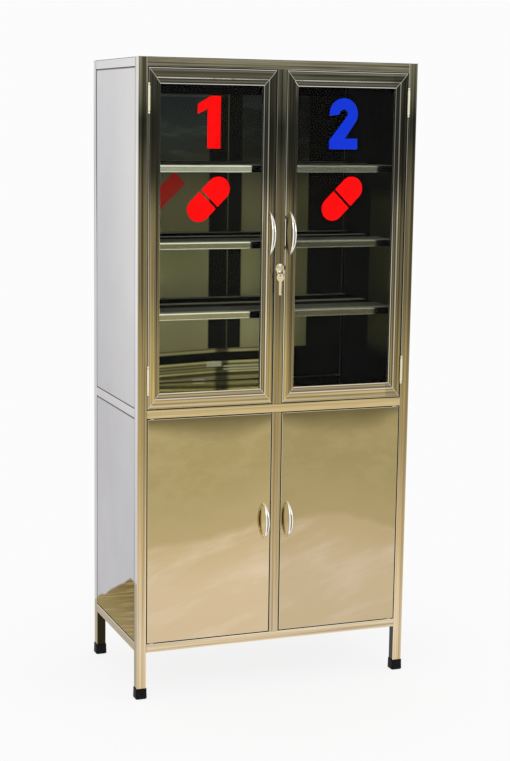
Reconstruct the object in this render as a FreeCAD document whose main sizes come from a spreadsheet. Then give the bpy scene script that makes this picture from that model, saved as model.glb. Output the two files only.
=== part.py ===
import FreeCAD, Part
import math
import os
import re
import Sketcher

# A free-standing stainless steel medicine cabinet: a welded frame of tube on four rubber feet,
# two framed glass doors above, two sheet steel doors below, three shelves and one cam lock.
# Lengths are in millimetres. +Z is up, the doors face -Y, and the origin is on the floor
# under the middle of the space the cabinet takes up, handles included.

SIZES = {
    # the frame of tube: square posts and slightly flatter rails
    "width": 740,
    "depth": 400,
    "height": 1600,
    "tube": 25,
    "tube_wall": 1.2,
    "tube_round": 2,
    "rail": 22,
    "leg_clear": 121,
    "middle_rail_low": 721,
    # rubber foot caps
    "foot_side": 30,
    "foot_top_side": 28,
    "foot_height": 28,
    "foot_sole": 5,
    # sheet steel panels and decks
    "top_sheet": 1,
    "panel_sheet": 0.8,
    "panel_recess": 1,
    "panel_bend": 2.5,
    "back_flange": 10,
    "deck_sheet": 1,
    "deck_flange": 18,
    "deck_bend": 1.8,
    # shelves and the angles that carry them
    "lower_shelf_top": 976,
    "middle_shelf_top": 1152,
    "upper_shelf_top": 1342,
    "shelf_sheet": 1,
    "shelf_lip": 18,
    "shelf_hem": 9,
    "shelf_bend": 1.5,
    "shelf_setback": 45,
    "shelf_end_gap": 0.5,
    "shelf_back_gap": 1,
    "rest_leg": 16,
    "rest_sheet": 1.2,
    "rest_setback": 14,
    # glazed upper doors
    "door_gap": 2,
    "frame_face": 31,
    "frame_bar_face": 38,
    "frame_band": 18.5,
    "frame_depth": 20,
    "frame_bevel": 2.4,
    "frame_step": 3,
    "frame_fall": 1.5,
    "frame_edge": 1.2,
    "frame_wall": 0.9,
    "glass_seat": 9,
    "glass_thick": 4,
    "glass_lap": 6,
    "glass_play": 0.5,
    "bead_face": 5,
    "bead_depth": 6,
    # sheet steel lower doors on hidden pivots
    "pan_depth": 18,
    "pan_sheet": 0.9,
    "pan_bend": 2.2,
    "liner_sheet": 0.8,
    "pivot_inset": 12.5,
    "pivot_setback": 6,
    "pivot_dia": 6,
    "pivot_reach": 6,
    "pivot_play": 0.05,
    "pivot_hole_play": 0.3,
    "pivot_block_width": 18,
    "pivot_block_height": 14,
    "bush_dia": 9,
    "bush_flange_dia": 12,
    "bush_flange": 1.2,
    "bush_depth": 7,
    "bush_play": 0.05,
    "magnet_length": 40,
    "magnet_height": 16,
    "magnet_inset": 10,
    "magnet_gap": 0.5,
    # bow handles
    "upper_handle_span": 106.5,
    "lower_handle_span": 91,
    "upper_handle_height": 1174,
    "lower_handle_height": 440,
    "upper_handle_inset": 13,
    "lower_handle_inset": 17.5,
    "handle_reach": 33,
    "handle_width": 11,
    "handle_thick": 6,
    "handle_end_width": 6.5,
    "handle_end_thick": 5,
    # barrel hinges of the upper doors
    "hinge_dia": 7,
    "hinge_half": 30,
    "hinge_ball_dia": 6.4,
    "hinge_neck_dia": 4.4,
    "hinge_neck": 1.2,
    "hinge_pin_dia": 4,
    "hinge_pin_reach": 24,
    "hinge_play": 0.05,
    "hinge_stand": 0.5,
    "hinge_lug": 1.2,
    "hinge_lug_depth": 12,
    "hinge_lug_height": 22,
    "hinge_low_rise": 72,
    "hinge_high_drop": 73,
    # cam lock, its keepers and its keys
    "lock_height": 1088,
    "lock_rim_dia": 22,
    "lock_rim": 2.2,
    "lock_dia": 18.6,
    "lock_hole_play": 0.2,
    "lock_length": 31,
    "nut_across": 24,
    "nut_thick": 4,
    "plug_dia": 13,
    "plug_play": 0.05,
    "plug_proud": 0.6,
    "shank_side": 7,
    "shank_play": 0.05,
    "shank_tail": 1.5,
    "cam_length": 56,
    "cam_width": 14,
    "cam_thick": 2,
    "cam_round": 5,
    "cam_gap": 0.2,
    "keeper_sheet": 1.5,
    "keeper_height": 24,
    "keeper_gap": 0.8,
    "keeper_web_inset": 14.5,
    "keeper_foot": 10,
    "keeper_tip_inset": 1,
    "key_thick": 1.6,
    "key_play": 0.1,
    "key_bow_dia": 20,
    "key_hole_dia": 4.6,
    "key_hole_inset": 4.5,
    "key_blade_width": 7,
    "key_blade_length": 28,
    "key_shoulder": 6,
    "key_notch": 2,
    "key_notch_pitch": 4.5,
    "key_hang_drop": 0.4,
    "ring_dia": 18,
    "ring_wire": 1.4,
    # how far a cutting tool runs past what it cuts
    "overrun": 1,
}

# angles, in degrees
RING_LEAN = 42
SPARE_KEY_TURN = 40
NOTCH_TURN = 45

# shares of the half span at which a handle's sections stand, and of the key blade for its notches
HANDLE_SECTION_SHARES = (-1.04, -0.72, -0.36, 0, 0.36, 0.72, 1.04)
NOTCH_COUNT = 3

# places and sizes that follow from the sheet
DERIVED = {
    "front": "(handle_reach - depth) / 2",
    "back": "front + depth",
    "half_inside": "width / 2 - tube",
    "tube_top": "height - top_sheet",
    "bottom_rail_top": "leg_clear + rail",
    "middle_rail_top": "middle_rail_low + rail",
    "top_rail_low": "tube_top - rail",
    "side_depth": "depth - 2 * tube",
    "door_left": "-half_inside + door_gap",
    "door_width": "half_inside - tube / 2 - 2 * door_gap",
    "door_free": "door_left + door_width",
    "upper_door_low": "middle_rail_top + door_gap",
    "upper_door_height": "top_rail_low - middle_rail_top - 2 * door_gap",
    "lower_door_low": "bottom_rail_top + door_gap",
    "lower_door_height": "middle_rail_low - bottom_rail_top - 2 * door_gap",
    "frame_lip": "frame_face - glass_lap",
    "bar_lip": "frame_lip * frame_bar_face / frame_face",
    "upper_handle_x": "door_free - upper_handle_inset",
    "lower_handle_x": "door_free - lower_handle_inset",
    "shelf_depth": "depth - shelf_setback - panel_recess - back_flange - shelf_back_gap",
    "hinge_x": "door_left - door_gap / 2",
    "hinge_y": "front - hinge_stand - hinge_dia / 2",
    "hinge_low": "upper_door_low + hinge_low_rise",
    "hinge_high": "upper_door_low + upper_door_height - hinge_high_drop",
    "pivot_x": "door_left + pivot_inset",
    "pivot_y": "front + pivot_setback",
    "lock_end": "front + lock_length",
    "cam_front": "lock_end + cam_gap",
    "cam_back": "cam_front + cam_thick",
    "keeper_back": "cam_back + keeper_gap + keeper_sheet",
    "key_hole_y": "front - lock_rim - key_shoulder - key_bow_dia + key_hole_inset",
}

AXIS_X = FreeCAD.Vector(1, 0, 0)
AXIS_Y = FreeCAD.Vector(0, 1, 0)
AXIS_Z = FreeCAD.Vector(0, 0, 1)
DOC = FreeCAD.newDocument("medicine_cabinet")
SHEET = DOC.addObject("Spreadsheet::Sheet", "dims")
NODES = []


def fill_sheet():
    """Write each driving size into its own cell, under its own name."""
    for row, (name, size) in enumerate(SIZES.items(), start=1):
        SHEET.set("A%d" % row, str(size))
        SHEET.setAlias("A%d" % row, name)
    DOC.recompute()


def size(name):
    """A driving size, read back from the sheet."""
    return float(SHEET.get(name))


def bound(formula):
    """The formula with derived names written out and sizes tied to the sheet."""
    def swap(match):
        word = match.group(0)
        if word in DERIVED:
            return "(" + bound(DERIVED[word]) + ")"
        return "dims." + word if word in SIZES else word
    return re.sub(r"[a-z][a-z_]*", swap, formula)


def bind(thing, **formulas):
    """Tie properties of an object to formulas."""
    for name, formula in formulas.items():
        thing.setExpression(name, bound(formula))


def turned(x_axis, y_axis):
    """The rotation that takes local X and Y to the two directions given."""
    return FreeCAD.Rotation(x_axis, y_axis, x_axis.cross(y_axis), "XYZ")


UPRIGHT = FreeCAD.Rotation()
ALONG_X = turned(AXIS_Y, AXIS_Z)
ALONG_Y = turned(AXIS_Z, AXIS_X)
FACING_LEFT = turned(-AXIS_Y, AXIS_Z)
FACING_FRONT = turned(AXIS_X, AXIS_Z)


def put(thing, place, rotation=UPRIGHT):
    """Place an object: a fixed rotation, and a position tied to three formulas."""
    thing.Placement = FreeCAD.Placement(FreeCAD.Vector(), rotation)
    for axis, formula in zip("xyz", place):
        thing.setExpression("Placement.Base." + axis, bound(formula))
    return thing


def node(thing, label):
    """Name a finished sub-part and list it for writing."""
    thing.Label = label
    NODES.append(thing)
    return thing


def block(name, sides, place):
    """A rectangular block with its low corner at the place."""
    box = DOC.addObject("Part::Box", name)
    bind(box, Length=sides[0], Width=sides[1], Height=sides[2])
    return put(box, place)


def rod(name, diameter, length, place, rotation=UPRIGHT):
    """A round rod that starts at the place and runs along its local Z."""
    bar = DOC.addObject("Part::Cylinder", name)
    bind(bar, Radius="(%s) / 2" % diameter, Height=length)
    return put(bar, place, rotation)


def ball(name, diameter, place):
    """A sphere about the place."""
    sphere = DOC.addObject("Part::Sphere", name)
    bind(sphere, Radius="(%s) / 2" % diameter)
    return put(sphere, place)


def cut(name, base, tool):
    """The base with the tool taken away."""
    result = DOC.addObject("Part::Cut", name)
    result.Base = base
    result.Tool = tool
    return result


def fuse(name, pieces):
    """One solid of several pieces."""
    result = DOC.addObject("Part::MultiFuse", name)
    result.Shapes = pieces
    return result


def group(name, pieces):
    """Separate solids kept together in one sub-part."""
    result = DOC.addObject("Part::Compound", name)
    result.Links = pieces
    return result


def mirrored(name, source):
    """The mirror image across the cabinet's middle plane."""
    result = DOC.addObject("Part::Mirroring", name)
    result.Source = source
    result.Normal = AXIS_X
    return result


def both_sides(thing, name):
    """List a left sub-part and its mirror image on the right."""
    node(thing, name + "_left")
    return node(mirrored(name + "_right", thing), name + "_right")


def outline(sketch, points):
    """A closed polygon in a sketch, every corner tied to its two formulas."""
    count = len(points)
    first = sketch.GeometryCount
    turns = [2 * math.pi * k / count for k in range(count + 1)]
    guess = [FreeCAD.Vector(math.cos(a), math.sin(a), 0) for a in turns]
    for k in range(count):
        sketch.addGeometry(Part.LineSegment(guess[k], guess[k + 1]), False)
    for k in range(count):
        following = first + (k + 1) % count
        sketch.addConstraint(Sketcher.Constraint("Coincident", first + k, 2, following, 1))
    for k, corner in enumerate(points):
        for kind, formula in zip(("DistanceX", "DistanceY"), corner):
            index = sketch.addConstraint(Sketcher.Constraint(kind, -1, 1, first + k, 1, 1))
            sketch.setExpression("Constraints[%d]" % index, bound(formula))


def box_points(low_x, low_y, high_x, high_y):
    """The corners of an upright rectangle."""
    return [(low_x, low_y), (high_x, low_y), (high_x, high_y), (low_x, high_y)]


def prism(name, outlines, length):
    """A body padded along local Z from polygons in local XY; inner polygons are openings."""
    body = DOC.addObject("PartDesign::Body", name)
    plane = [item for item in body.Origin.OriginFeatures if item.Role == "XY_Plane"][0]
    sketch = body.newObject("Sketcher::SketchObject", name + "_section")
    sketch.AttachmentSupport = [(plane, "")]
    sketch.MapMode = "FlatFace"
    for points in outlines:
        outline(sketch, points)
    pad = body.newObject("PartDesign::Pad", name + "_pad")
    pad.Profile = sketch
    bind(pad, Length=length)
    DOC.recompute()
    return body


def rounded(body, radius, wanted):
    """Round the edges of a body whose middle point passes the test."""
    base = body.Tip
    edges = base.Shape.Edges
    names = ["Edge%d" % (k + 1) for k, edge in enumerate(edges) if wanted(edge.CenterOfMass)]
    fillet = body.newObject("PartDesign::Fillet", body.Name + "_round")
    fillet.Base = (base, names)
    bind(fillet, Radius=radius)
    DOC.recompute()
    return body


def near(a, b):
    """Whether two lengths agree."""
    return math.isclose(a, b, abs_tol=1e-6)


def hollow_tube(name, length, place, rotation=UPRIGHT, sides=("tube", "tube")):
    """A hollow tube with rounded corners, along its local Z, its two sides along local X and Y."""
    outer = box_points("0", "0", *sides)
    inner = box_points("tube_wall", "tube_wall", *[side + " - tube_wall" for side in sides])
    body = prism(name, [outer, inner], length)
    far_x, far_y = (size(side) for side in sides)

    def is_corner(middle):
        at_x = near(middle.x, 0) or near(middle.x, far_x)
        return at_x and (near(middle.y, 0) or near(middle.y, far_y))

    return put(rounded(body, "tube_round", is_corner), place, rotation)


def pan(name, sides, sheet, bend, place, rotation=UPRIGHT):
    """A folded sheet pan, open below: its face is at the top, with bent edges and four flanges."""
    length, width, flange = sides
    body = prism(name, [box_points("0", "0", length, width)], flange)
    top = body.Tip.Shape.BoundBox.ZMax
    rounded(body, bend, lambda middle: near(middle.z, top))
    solid = body.Tip
    faces = solid.Shape.Faces
    open_side = ["Face%d" % (k + 1) for k, face in enumerate(faces) if near(face.CenterOfMass.z, 0)]
    shell = body.newObject("PartDesign::Thickness", name + "_wall")
    shell.Base = (solid, open_side)
    shell.Reversed = True
    bind(shell, Value=sheet)
    DOC.recompute()
    return put(body, place, rotation)


def make_posts():
    """Four corner posts that stand in the foot caps, and a post between the doors, above and below."""
    length = "tube_top - foot_sole"
    for side, y in (("front", "front"), ("back", "back - tube")):
        post = hollow_tube("post_" + side, length, ("-width / 2", y, "foot_sole"))
        both_sides(post, "post_" + side)
    low = "bottom_rail_top"
    lower = hollow_tube("centre_post_low", "middle_rail_low - bottom_rail_top", ("-tube / 2", "front", low))
    node(lower, "centre_post_lower")
    high = "middle_rail_top"
    blank = hollow_tube("centre_post_high", "top_rail_low - middle_rail_top", ("-tube / 2", "front", high))
    hole = rod("lock_hole", "lock_dia + 2 * lock_hole_play", "tube + 2 * overrun",
               ("0", "front + tube + overrun", "lock_height"), FACING_FRONT)
    node(cut("centre_post_drilled", blank, hole), "centre_post_upper")


def pivot_hole(name, side, low, depth):
    """A tool for the hole in a rail's wall that takes a door pivot's bush."""
    place = (side + "pivot_x", "pivot_y", low)
    return rod(name, "bush_dia + 2 * bush_play", depth, place)


def make_rails():
    """Rails between the posts at three heights: front, sides and back."""
    heights = {"bottom": "leg_clear", "middle": "middle_rail_low", "top": "top_rail_low"}
    walls = {"bottom": "bottom_rail_top - 2 * tube_wall", "middle": "middle_rail_low - tube_wall"}
    for level, low in heights.items():
        rail = hollow_tube("rail_" + level, "2 * half_inside", ("-half_inside", "front", low), ALONG_X,
                           ("tube", "rail"))
        if level in walls:
            tools = [pivot_hole("hole_%s_%s" % (level, hand), sign, walls[level], "3 * tube_wall")
                     for hand, sign in (("left", ""), ("right", "-"))]
            rail = cut("rail_%s_drilled" % level, rail, group("holes_" + level, tools))
        node(rail, "front_rail_" + level)
    sides = [hollow_tube("side_rail_" + level, "side_depth", ("-width / 2", "front + tube", low), ALONG_Y,
                         ("rail", "tube"))
             for level, low in heights.items()]
    both_sides(group("side_rails", sides), "side_rails")
    backs = [hollow_tube("back_rail_" + level, "2 * half_inside", ("-half_inside", "back - tube", low),
                         ALONG_X, ("tube", "rail"))
             for level, low in heights.items()]
    node(group("back_rail_set", backs), "back_rails")


def make_feet():
    """Rubber cups, a little wider at the floor, with the posts standing on their soles."""
    feet = []
    for hand in ("", "-"):
        for y in ("front + tube / 2", "back - tube / 2"):
            x = hand + "(width / 2 - tube / 2)"
            cup = DOC.addObject("Part::Wedge", "foot_cup")
            bind(cup, Xmin="-foot_side / 2", Xmax="foot_side / 2", Zmin="-foot_side / 2",
                 Zmax="foot_side / 2", X2min="-foot_top_side / 2", X2max="foot_top_side / 2",
                 Z2min="-foot_top_side / 2", Z2max="foot_top_side / 2", Ymin="0", Ymax="foot_height")
            put(cup, (x, y, "0"), turned(-AXIS_X, AXIS_Z))
            place = ("%s - tube / 2" % x, "%s - tube / 2" % y, "foot_sole")
            feet.append(cut("foot", cup, block("foot_socket", ("tube", "tube", "foot_height"), place)))
    node(group("feet", feet), "rubber_feet")


def make_panels():
    """Top sheet, double-skinned sides, a back folded outwards, and two decks set between the rails."""
    node(block("top", ("width", "depth", "top_sheet"), ("-width / 2", "front", "tube_top")), "top_panel")
    bays = {"lower": ("bottom_rail_top", "middle_rail_low"), "upper": ("middle_rail_top", "top_rail_low")}
    for level, (low, high) in bays.items():
        rise = "%s - %s" % (high, low)
        skin = pan("side_skin_" + level, ("side_depth", rise, "tube - panel_recess"), "panel_sheet",
                   "panel_bend", ("-half_inside", "back - tube", low), FACING_LEFT)
        liner = block("side_liner_" + level,
                      ("panel_sheet", "side_depth - 2 * panel_sheet", rise + " - 2 * panel_sheet"),
                      ("-half_inside - panel_sheet", "front + tube + panel_sheet", low + " + panel_sheet"))
        both_sides(group("side_panel_" + level, [skin, liner]), "side_panel_" + level)
        back = pan("back_skin_" + level, ("2 * half_inside", rise, "back_flange"), "panel_sheet",
                   "panel_bend", ("-half_inside", "back - panel_recess", low), FACING_FRONT)
        node(back, "back_panel_" + level)
    for level, high in (("bottom", "bottom_rail_top"), ("middle", "middle_rail_top")):
        deck = pan("deck_" + level, ("2 * half_inside", "side_depth", "deck_flange"), "deck_sheet",
                   "deck_bend", ("-half_inside", "front + tube", high + " - deck_flange"))
        node(deck, level + "_deck")


def make_shelves():
    """Folded shelves with a hemmed front lip, lying on angles that are welded to the side liners."""
    section = [("0", "0"), ("shelf_hem", "0"), ("shelf_hem", "shelf_sheet"), ("shelf_sheet", "shelf_sheet"),
               ("shelf_sheet", "shelf_lip - shelf_sheet"),
               ("shelf_depth - shelf_sheet", "shelf_lip - shelf_sheet"),
               ("shelf_depth - shelf_sheet", "0"), ("shelf_depth", "0"), ("shelf_depth", "shelf_lip"),
               ("0", "shelf_lip")]
    angle = [("0", "0"), ("rest_leg", "0"), ("rest_leg", "rest_leg"), ("rest_leg - rest_sheet", "rest_leg"),
             ("rest_leg - rest_sheet", "rest_sheet"), ("0", "rest_sheet")]
    lip = size("shelf_lip")

    def is_front_bend(middle):
        return near(middle.x, 0) and (near(middle.y, 0) or near(middle.y, lip))

    rests = []
    for level in ("lower", "middle", "upper"):
        top = level + "_shelf_top"
        shelf = prism("shelf_" + level, [section], "2 * (half_inside - shelf_end_gap)")
        rounded(shelf, "shelf_bend", is_front_bend)
        place = ("-half_inside + shelf_end_gap", "front + shelf_setback", top + " - shelf_lip")
        node(put(shelf, place, ALONG_X), level + "_shelf")
        rest = prism("rest_" + level, [angle], "shelf_depth - 2 * rest_setback")
        place = ("-half_inside", "front + shelf_setback + rest_setback", top + " - shelf_sheet - rest_leg")
        put(rest, place, ALONG_Y)
        rests += [rest, mirrored("rest_%s_right" % level, rest)]
    node(group("rests", rests), "shelf_rests")


def frame_bar(name, length, place, rotation, face, end_face):
    """A length of the pressed door profile, a hollow box with a stepped face, mitred at both ends.
    Its widths are those of an upright times its own face, so that the steps meet in the mitres."""
    share = face + " / frame_face"
    face_low = "frame_step + frame_fall"
    step = "frame_band + frame_bevel"
    outer = [("frame_depth", "0"), ("frame_edge", "0"), ("0", "frame_edge"), ("0", "frame_band"),
             ("frame_step", step), (face_low, "frame_face - frame_edge"),
             (face_low + " + frame_edge", "frame_face"), ("glass_seat", "frame_face"),
             ("glass_seat", "frame_lip"), ("frame_depth", "frame_lip")]
    inner = [("frame_depth - frame_wall", "frame_wall"), ("frame_edge + frame_wall", "frame_wall"),
             ("frame_wall", "frame_edge + frame_wall"), ("frame_wall", "frame_band - frame_wall / 2"),
             ("frame_step + frame_wall", step), (face_low + " + frame_wall", "frame_lip - frame_wall"),
             ("frame_depth - frame_wall", "frame_lip - frame_wall")]
    rings = [[(deep, "(%s) * %s" % (wide, share)) for deep, wide in ring] for ring in (outer, inner)]
    bar = put(prism(name + "_profile", rings, length), ("0", "0", "0"), ALONG_X)
    mitre = DOC.addObject("Part::Wedge", name + "_mitre")
    bind(mitre, Xmin="0", Xmax=length, X2min=end_face, X2max=length + " - " + end_face, Ymin="0",
         Ymax=face, Zmin="-frame_depth - overrun", Zmax="overrun", Z2min="-frame_depth - overrun",
         Z2max="overrun")
    put(mitre, ("0", "0", "0"), FACING_FRONT)
    trimmed = DOC.addObject("Part::Common", name)
    trimmed.Base = bar
    trimmed.Tool = mitre
    return put(trimmed, place, rotation)


def make_glazed_doors():
    """Mitred frames with glass seated behind their lips and held by beads."""
    left, low, wide, high = "door_left", "upper_door_low", "door_width", "upper_door_height"
    right, top = "door_free", "upper_door_low + upper_door_height"
    level = ("frame_bar_face", "frame_face")
    upright = ("frame_face", "frame_bar_face")
    bars = [frame_bar("frame_low", wide, (left, "front", low), turned(AXIS_X, AXIS_Y), *level),
            frame_bar("frame_high", wide, (right, "front", top), turned(-AXIS_X, AXIS_Y), *level),
            frame_bar("frame_hinge_side", high, (left, "front", top), turned(-AXIS_Z, AXIS_Y), *upright),
            frame_bar("frame_free_side", high, (right, "front", low), turned(AXIS_Z, AXIS_Y), *upright)]
    both_sides(group("glazed_frame", bars), "upper_door_frame")
    edge, end = "(frame_lip + glass_play)", "(bar_lip + glass_play)"
    glass = block("glass_pane", ("%s - 2 * %s" % (wide, edge), "glass_thick", "%s - 2 * %s" % (high, end)),
                  ("%s + %s" % (left, edge), "front + glass_seat", "%s + %s" % (low, end)))
    both_sides(glass, "upper_door_glass")
    y = "front + glass_seat + glass_thick"
    span = wide + " - 2 * frame_lip"
    rise = high + " - 2 * bar_lip - 2 * bead_face"
    beads = [block("bead_low", (span, "bead_depth", "bead_face"),
                   (left + " + frame_lip", y, low + " + bar_lip")),
             block("bead_high", (span, "bead_depth", "bead_face"),
                   (left + " + frame_lip", y, top + " - bar_lip - bead_face")),
             block("bead_hinge_side", ("bead_face", "bead_depth", rise),
                   (left + " + frame_lip", y, low + " + bar_lip + bead_face")),
             block("bead_free_side", ("bead_face", "bead_depth", rise),
                   (right + " - frame_lip - bead_face", y, low + " + bar_lip + bead_face"))]
    both_sides(group("beads", beads), "upper_door_beads")


def hinge_half(name, middle, grows):
    """One half of a barrel hinge from its middle plane: barrel, neck, ball tip and welded lug."""
    along = UPRIGHT if grows else turned(AXIS_X, -AXIS_Y)
    sign = "+" if grows else "-"
    tip = "%s %s hinge_half" % (middle, sign)
    lug_x = "door_left - hinge_lug" if grows else "-half_inside"
    lug_low = middle if grows else middle + " - hinge_lug_height"
    ball_middle = "%s %s (hinge_neck + hinge_ball_dia / 2)" % (tip, sign)
    return [rod(name + "_barrel", "hinge_dia", "hinge_half", ("hinge_x", "hinge_y", middle), along),
            rod(name + "_neck", "hinge_neck_dia", "hinge_neck + hinge_ball_dia / 2",
                ("hinge_x", "hinge_y", tip), along),
            ball(name + "_ball", "hinge_ball_dia", ("hinge_x", "hinge_y", ball_middle)),
            block(name + "_lug", ("hinge_lug", "front + hinge_lug_depth - hinge_y", "hinge_lug_height"),
                  (lug_x, "hinge_y", lug_low))]


def make_hinges():
    """Two barrel hinges a door: the lower half, with the pin, is on the post, the upper on the door."""
    fixed = []
    moving = []
    for level in ("hinge_low", "hinge_high"):
        pin = rod(level + "_pin", "hinge_pin_dia", "hinge_pin_reach", ("hinge_x", "hinge_y", level))
        fixed.append(fuse(level + "_fixed", hinge_half(level + "_post", level, False) + [pin]))
        sleeve = fuse(level + "_sleeve", hinge_half(level + "_door", level, True))
        bore = rod(level + "_bore", "hinge_pin_dia + 2 * hinge_play", "hinge_pin_reach + 2 * overrun",
                   ("hinge_x", "hinge_y", level + " - overrun"))
        moving.append(cut(level + "_moving", sleeve, bore))
    both_sides(group("post_hinges", fixed), "post_hinge_halves")
    both_sides(group("door_hinges", moving), "door_hinge_halves")


def make_steel_doors():
    """Folded door pans closed by a liner, turning on pins in bushes set into the rails."""
    left, low, wide, high = "door_left", "lower_door_low", "door_width", "lower_door_height"
    skin = pan("door_skin", (wide, high, "pan_depth"), "pan_sheet", "pan_bend",
               (left, "front + pan_depth", low), FACING_FRONT)
    hole = rod("pivot_holes", "pivot_dia + 2 * pivot_hole_play", high + " + 2 * overrun",
               ("pivot_x", "pivot_y", low + " - overrun"))
    both_sides(cut("door_skin_drilled", skin, hole), "lower_door_skin")
    liner = block("door_liner", (wide + " - 2 * pan_sheet", "liner_sheet", high + " - 2 * pan_sheet"),
                  (left + " + pan_sheet", "front + pan_depth - liner_sheet", low + " + pan_sheet"))
    both_sides(liner, "lower_door_liner")
    inside = "pan_depth - pan_bend - liner_sheet"
    block_x = "pivot_x - pivot_block_width / 2"
    pin_length = "pivot_block_height + pan_sheet + door_gap + pivot_reach"
    pin_lows = {"low": low + " - door_gap - pivot_reach",
                "high": "%s + %s - pan_sheet - pivot_block_height" % (low, high)}
    block_lows = {"low": low + " + pan_sheet", "high": pin_lows["high"]}
    pivots = []
    for end in ("low", "high"):
        body = block("pivot_block_" + end, ("pivot_block_width", inside, "pivot_block_height"),
                     (block_x, "front + pan_bend", block_lows[end]))
        pin = rod("pivot_pin_" + end, "pivot_dia", pin_length, ("pivot_x", "pivot_y", pin_lows[end]))
        pivots.append(fuse("pivot_" + end, [body, pin]))
    both_sides(group("pivots", pivots), "lower_door_pivots")
    bushes = []
    for end, face, out in (("low", "bottom_rail_top", True), ("high", "middle_rail_low", False)):
        shank_low = face + " - bush_depth" if out else face
        flange_low = face if out else face + " - bush_flange"
        shank = rod("bush_shank", "bush_dia", "bush_depth", ("pivot_x", "pivot_y", shank_low))
        rim = rod("bush_rim", "bush_flange_dia", "bush_flange", ("pivot_x", "pivot_y", flange_low))
        ring = fuse("bush_" + end, [shank, rim])
        bore = rod("bush_bore", "pivot_dia + 2 * pivot_play", "bush_depth + bush_flange + 2 * overrun",
                   ("pivot_x", "pivot_y", (shank_low if out else flange_low) + " - overrun"))
        bush = cut("bush_bored_" + end, ring, bore)
        bushes += [bush, mirrored("bush_%s_right" % end, bush)]
    node(group("bushes", bushes), "pivot_bushes")
    magnet = block("magnet", ("magnet_length", "tube - pan_depth - magnet_gap", "magnet_height"),
                   ("door_free - magnet_inset - magnet_length", "front + pan_depth + magnet_gap",
                    "middle_rail_low - magnet_height"))
    node(group("magnets", [magnet, mirrored("magnet_right", magnet)]), "magnet_catches")


def make_handles():
    """Crescent bow handles: ellipses along an arc, widest in the middle, trimmed flush with the door."""
    rise = "(handle_reach - handle_thick / 2)"
    for level in ("upper", "lower"):
        handle_x, middle = level + "_handle_x", level + "_handle_height"
        half = "(%s_handle_span / 2)" % level
        radius = "((%s ^ 2 + %s ^ 2) / (2 * %s))" % (half, rise, rise)
        sections = []
        for share in HANDLE_SECTION_SHARES:
            along = "(%s * %s)" % (share, half)
            fullness = 1 - share ** 2
            out = "(sqrt(%s ^ 2 - %s ^ 2) - %s + %s)" % (radius, along, radius, rise)
            ring = DOC.addObject("Part::Ellipse", "handle_section")
            wide = "handle_end_width + (handle_width - handle_end_width) * %s" % fullness
            thick = "handle_end_thick + (handle_thick - handle_end_thick) * %s" % fullness
            bind(ring, MajorRadius="(%s) / 2" % wide, MinorRadius="(%s) / 2" % thick)
            put(ring, (handle_x, "front - " + out, "%s + %s" % (middle, along)),
                FreeCAD.Rotation(-AXIS_X, 1))
            ring.setExpression("Placement.Rotation.Angle", bound("asin(%s / %s)" % (along, radius)))
            sections.append(ring)
        bow = DOC.addObject("Part::Loft", level + "_bow")
        bow.Sections = sections
        bow.Solid = True
        span = level + "_handle_span"
        behind = block(level + "_bow_trim", ("2 * handle_width", "handle_reach", "2 * " + span),
                       (handle_x + " - handle_width", "front", "%s - %s" % (middle, span)))
        both_sides(cut(level + "_bow_flush", bow, behind), level + "_door_handle")


def key_shape(name):
    """A flat key about its ring hole: round bow, blade along local -Y with notches, local Z through it."""
    half = "-key_thick / 2"
    bow_y = "key_hole_inset - key_bow_dia / 2"
    blade_y = "%s - key_bow_dia / 2 - key_shoulder - key_blade_length" % bow_y
    blade_long = "key_bow_dia / 2 + key_shoulder + key_blade_length"
    solid = fuse(name + "_flat", [
        rod(name + "_bow", "key_bow_dia", "key_thick", ("0", bow_y, half)),
        block(name + "_blade", ("key_blade_width", blade_long, "key_thick"),
              ("-key_blade_width / 2", blade_y, half))])
    through = "key_thick + 2 * overrun"
    tools = [rod(name + "_hole", "key_hole_dia", through, ("0", "0", half + " - overrun"))]
    for count in range(1, NOTCH_COUNT + 1):
        place = ("key_blade_width / 2", "%s + %d * key_notch_pitch" % (blade_y, count), half + " - overrun")
        notch = block(name + "_notch", ("key_notch", "key_notch", through), place)
        notch.Placement.Rotation = FreeCAD.Rotation(AXIS_Z, NOTCH_TURN)
        tools.append(notch)
    return cut(name, solid, group(name + "_tools", tools))


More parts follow.
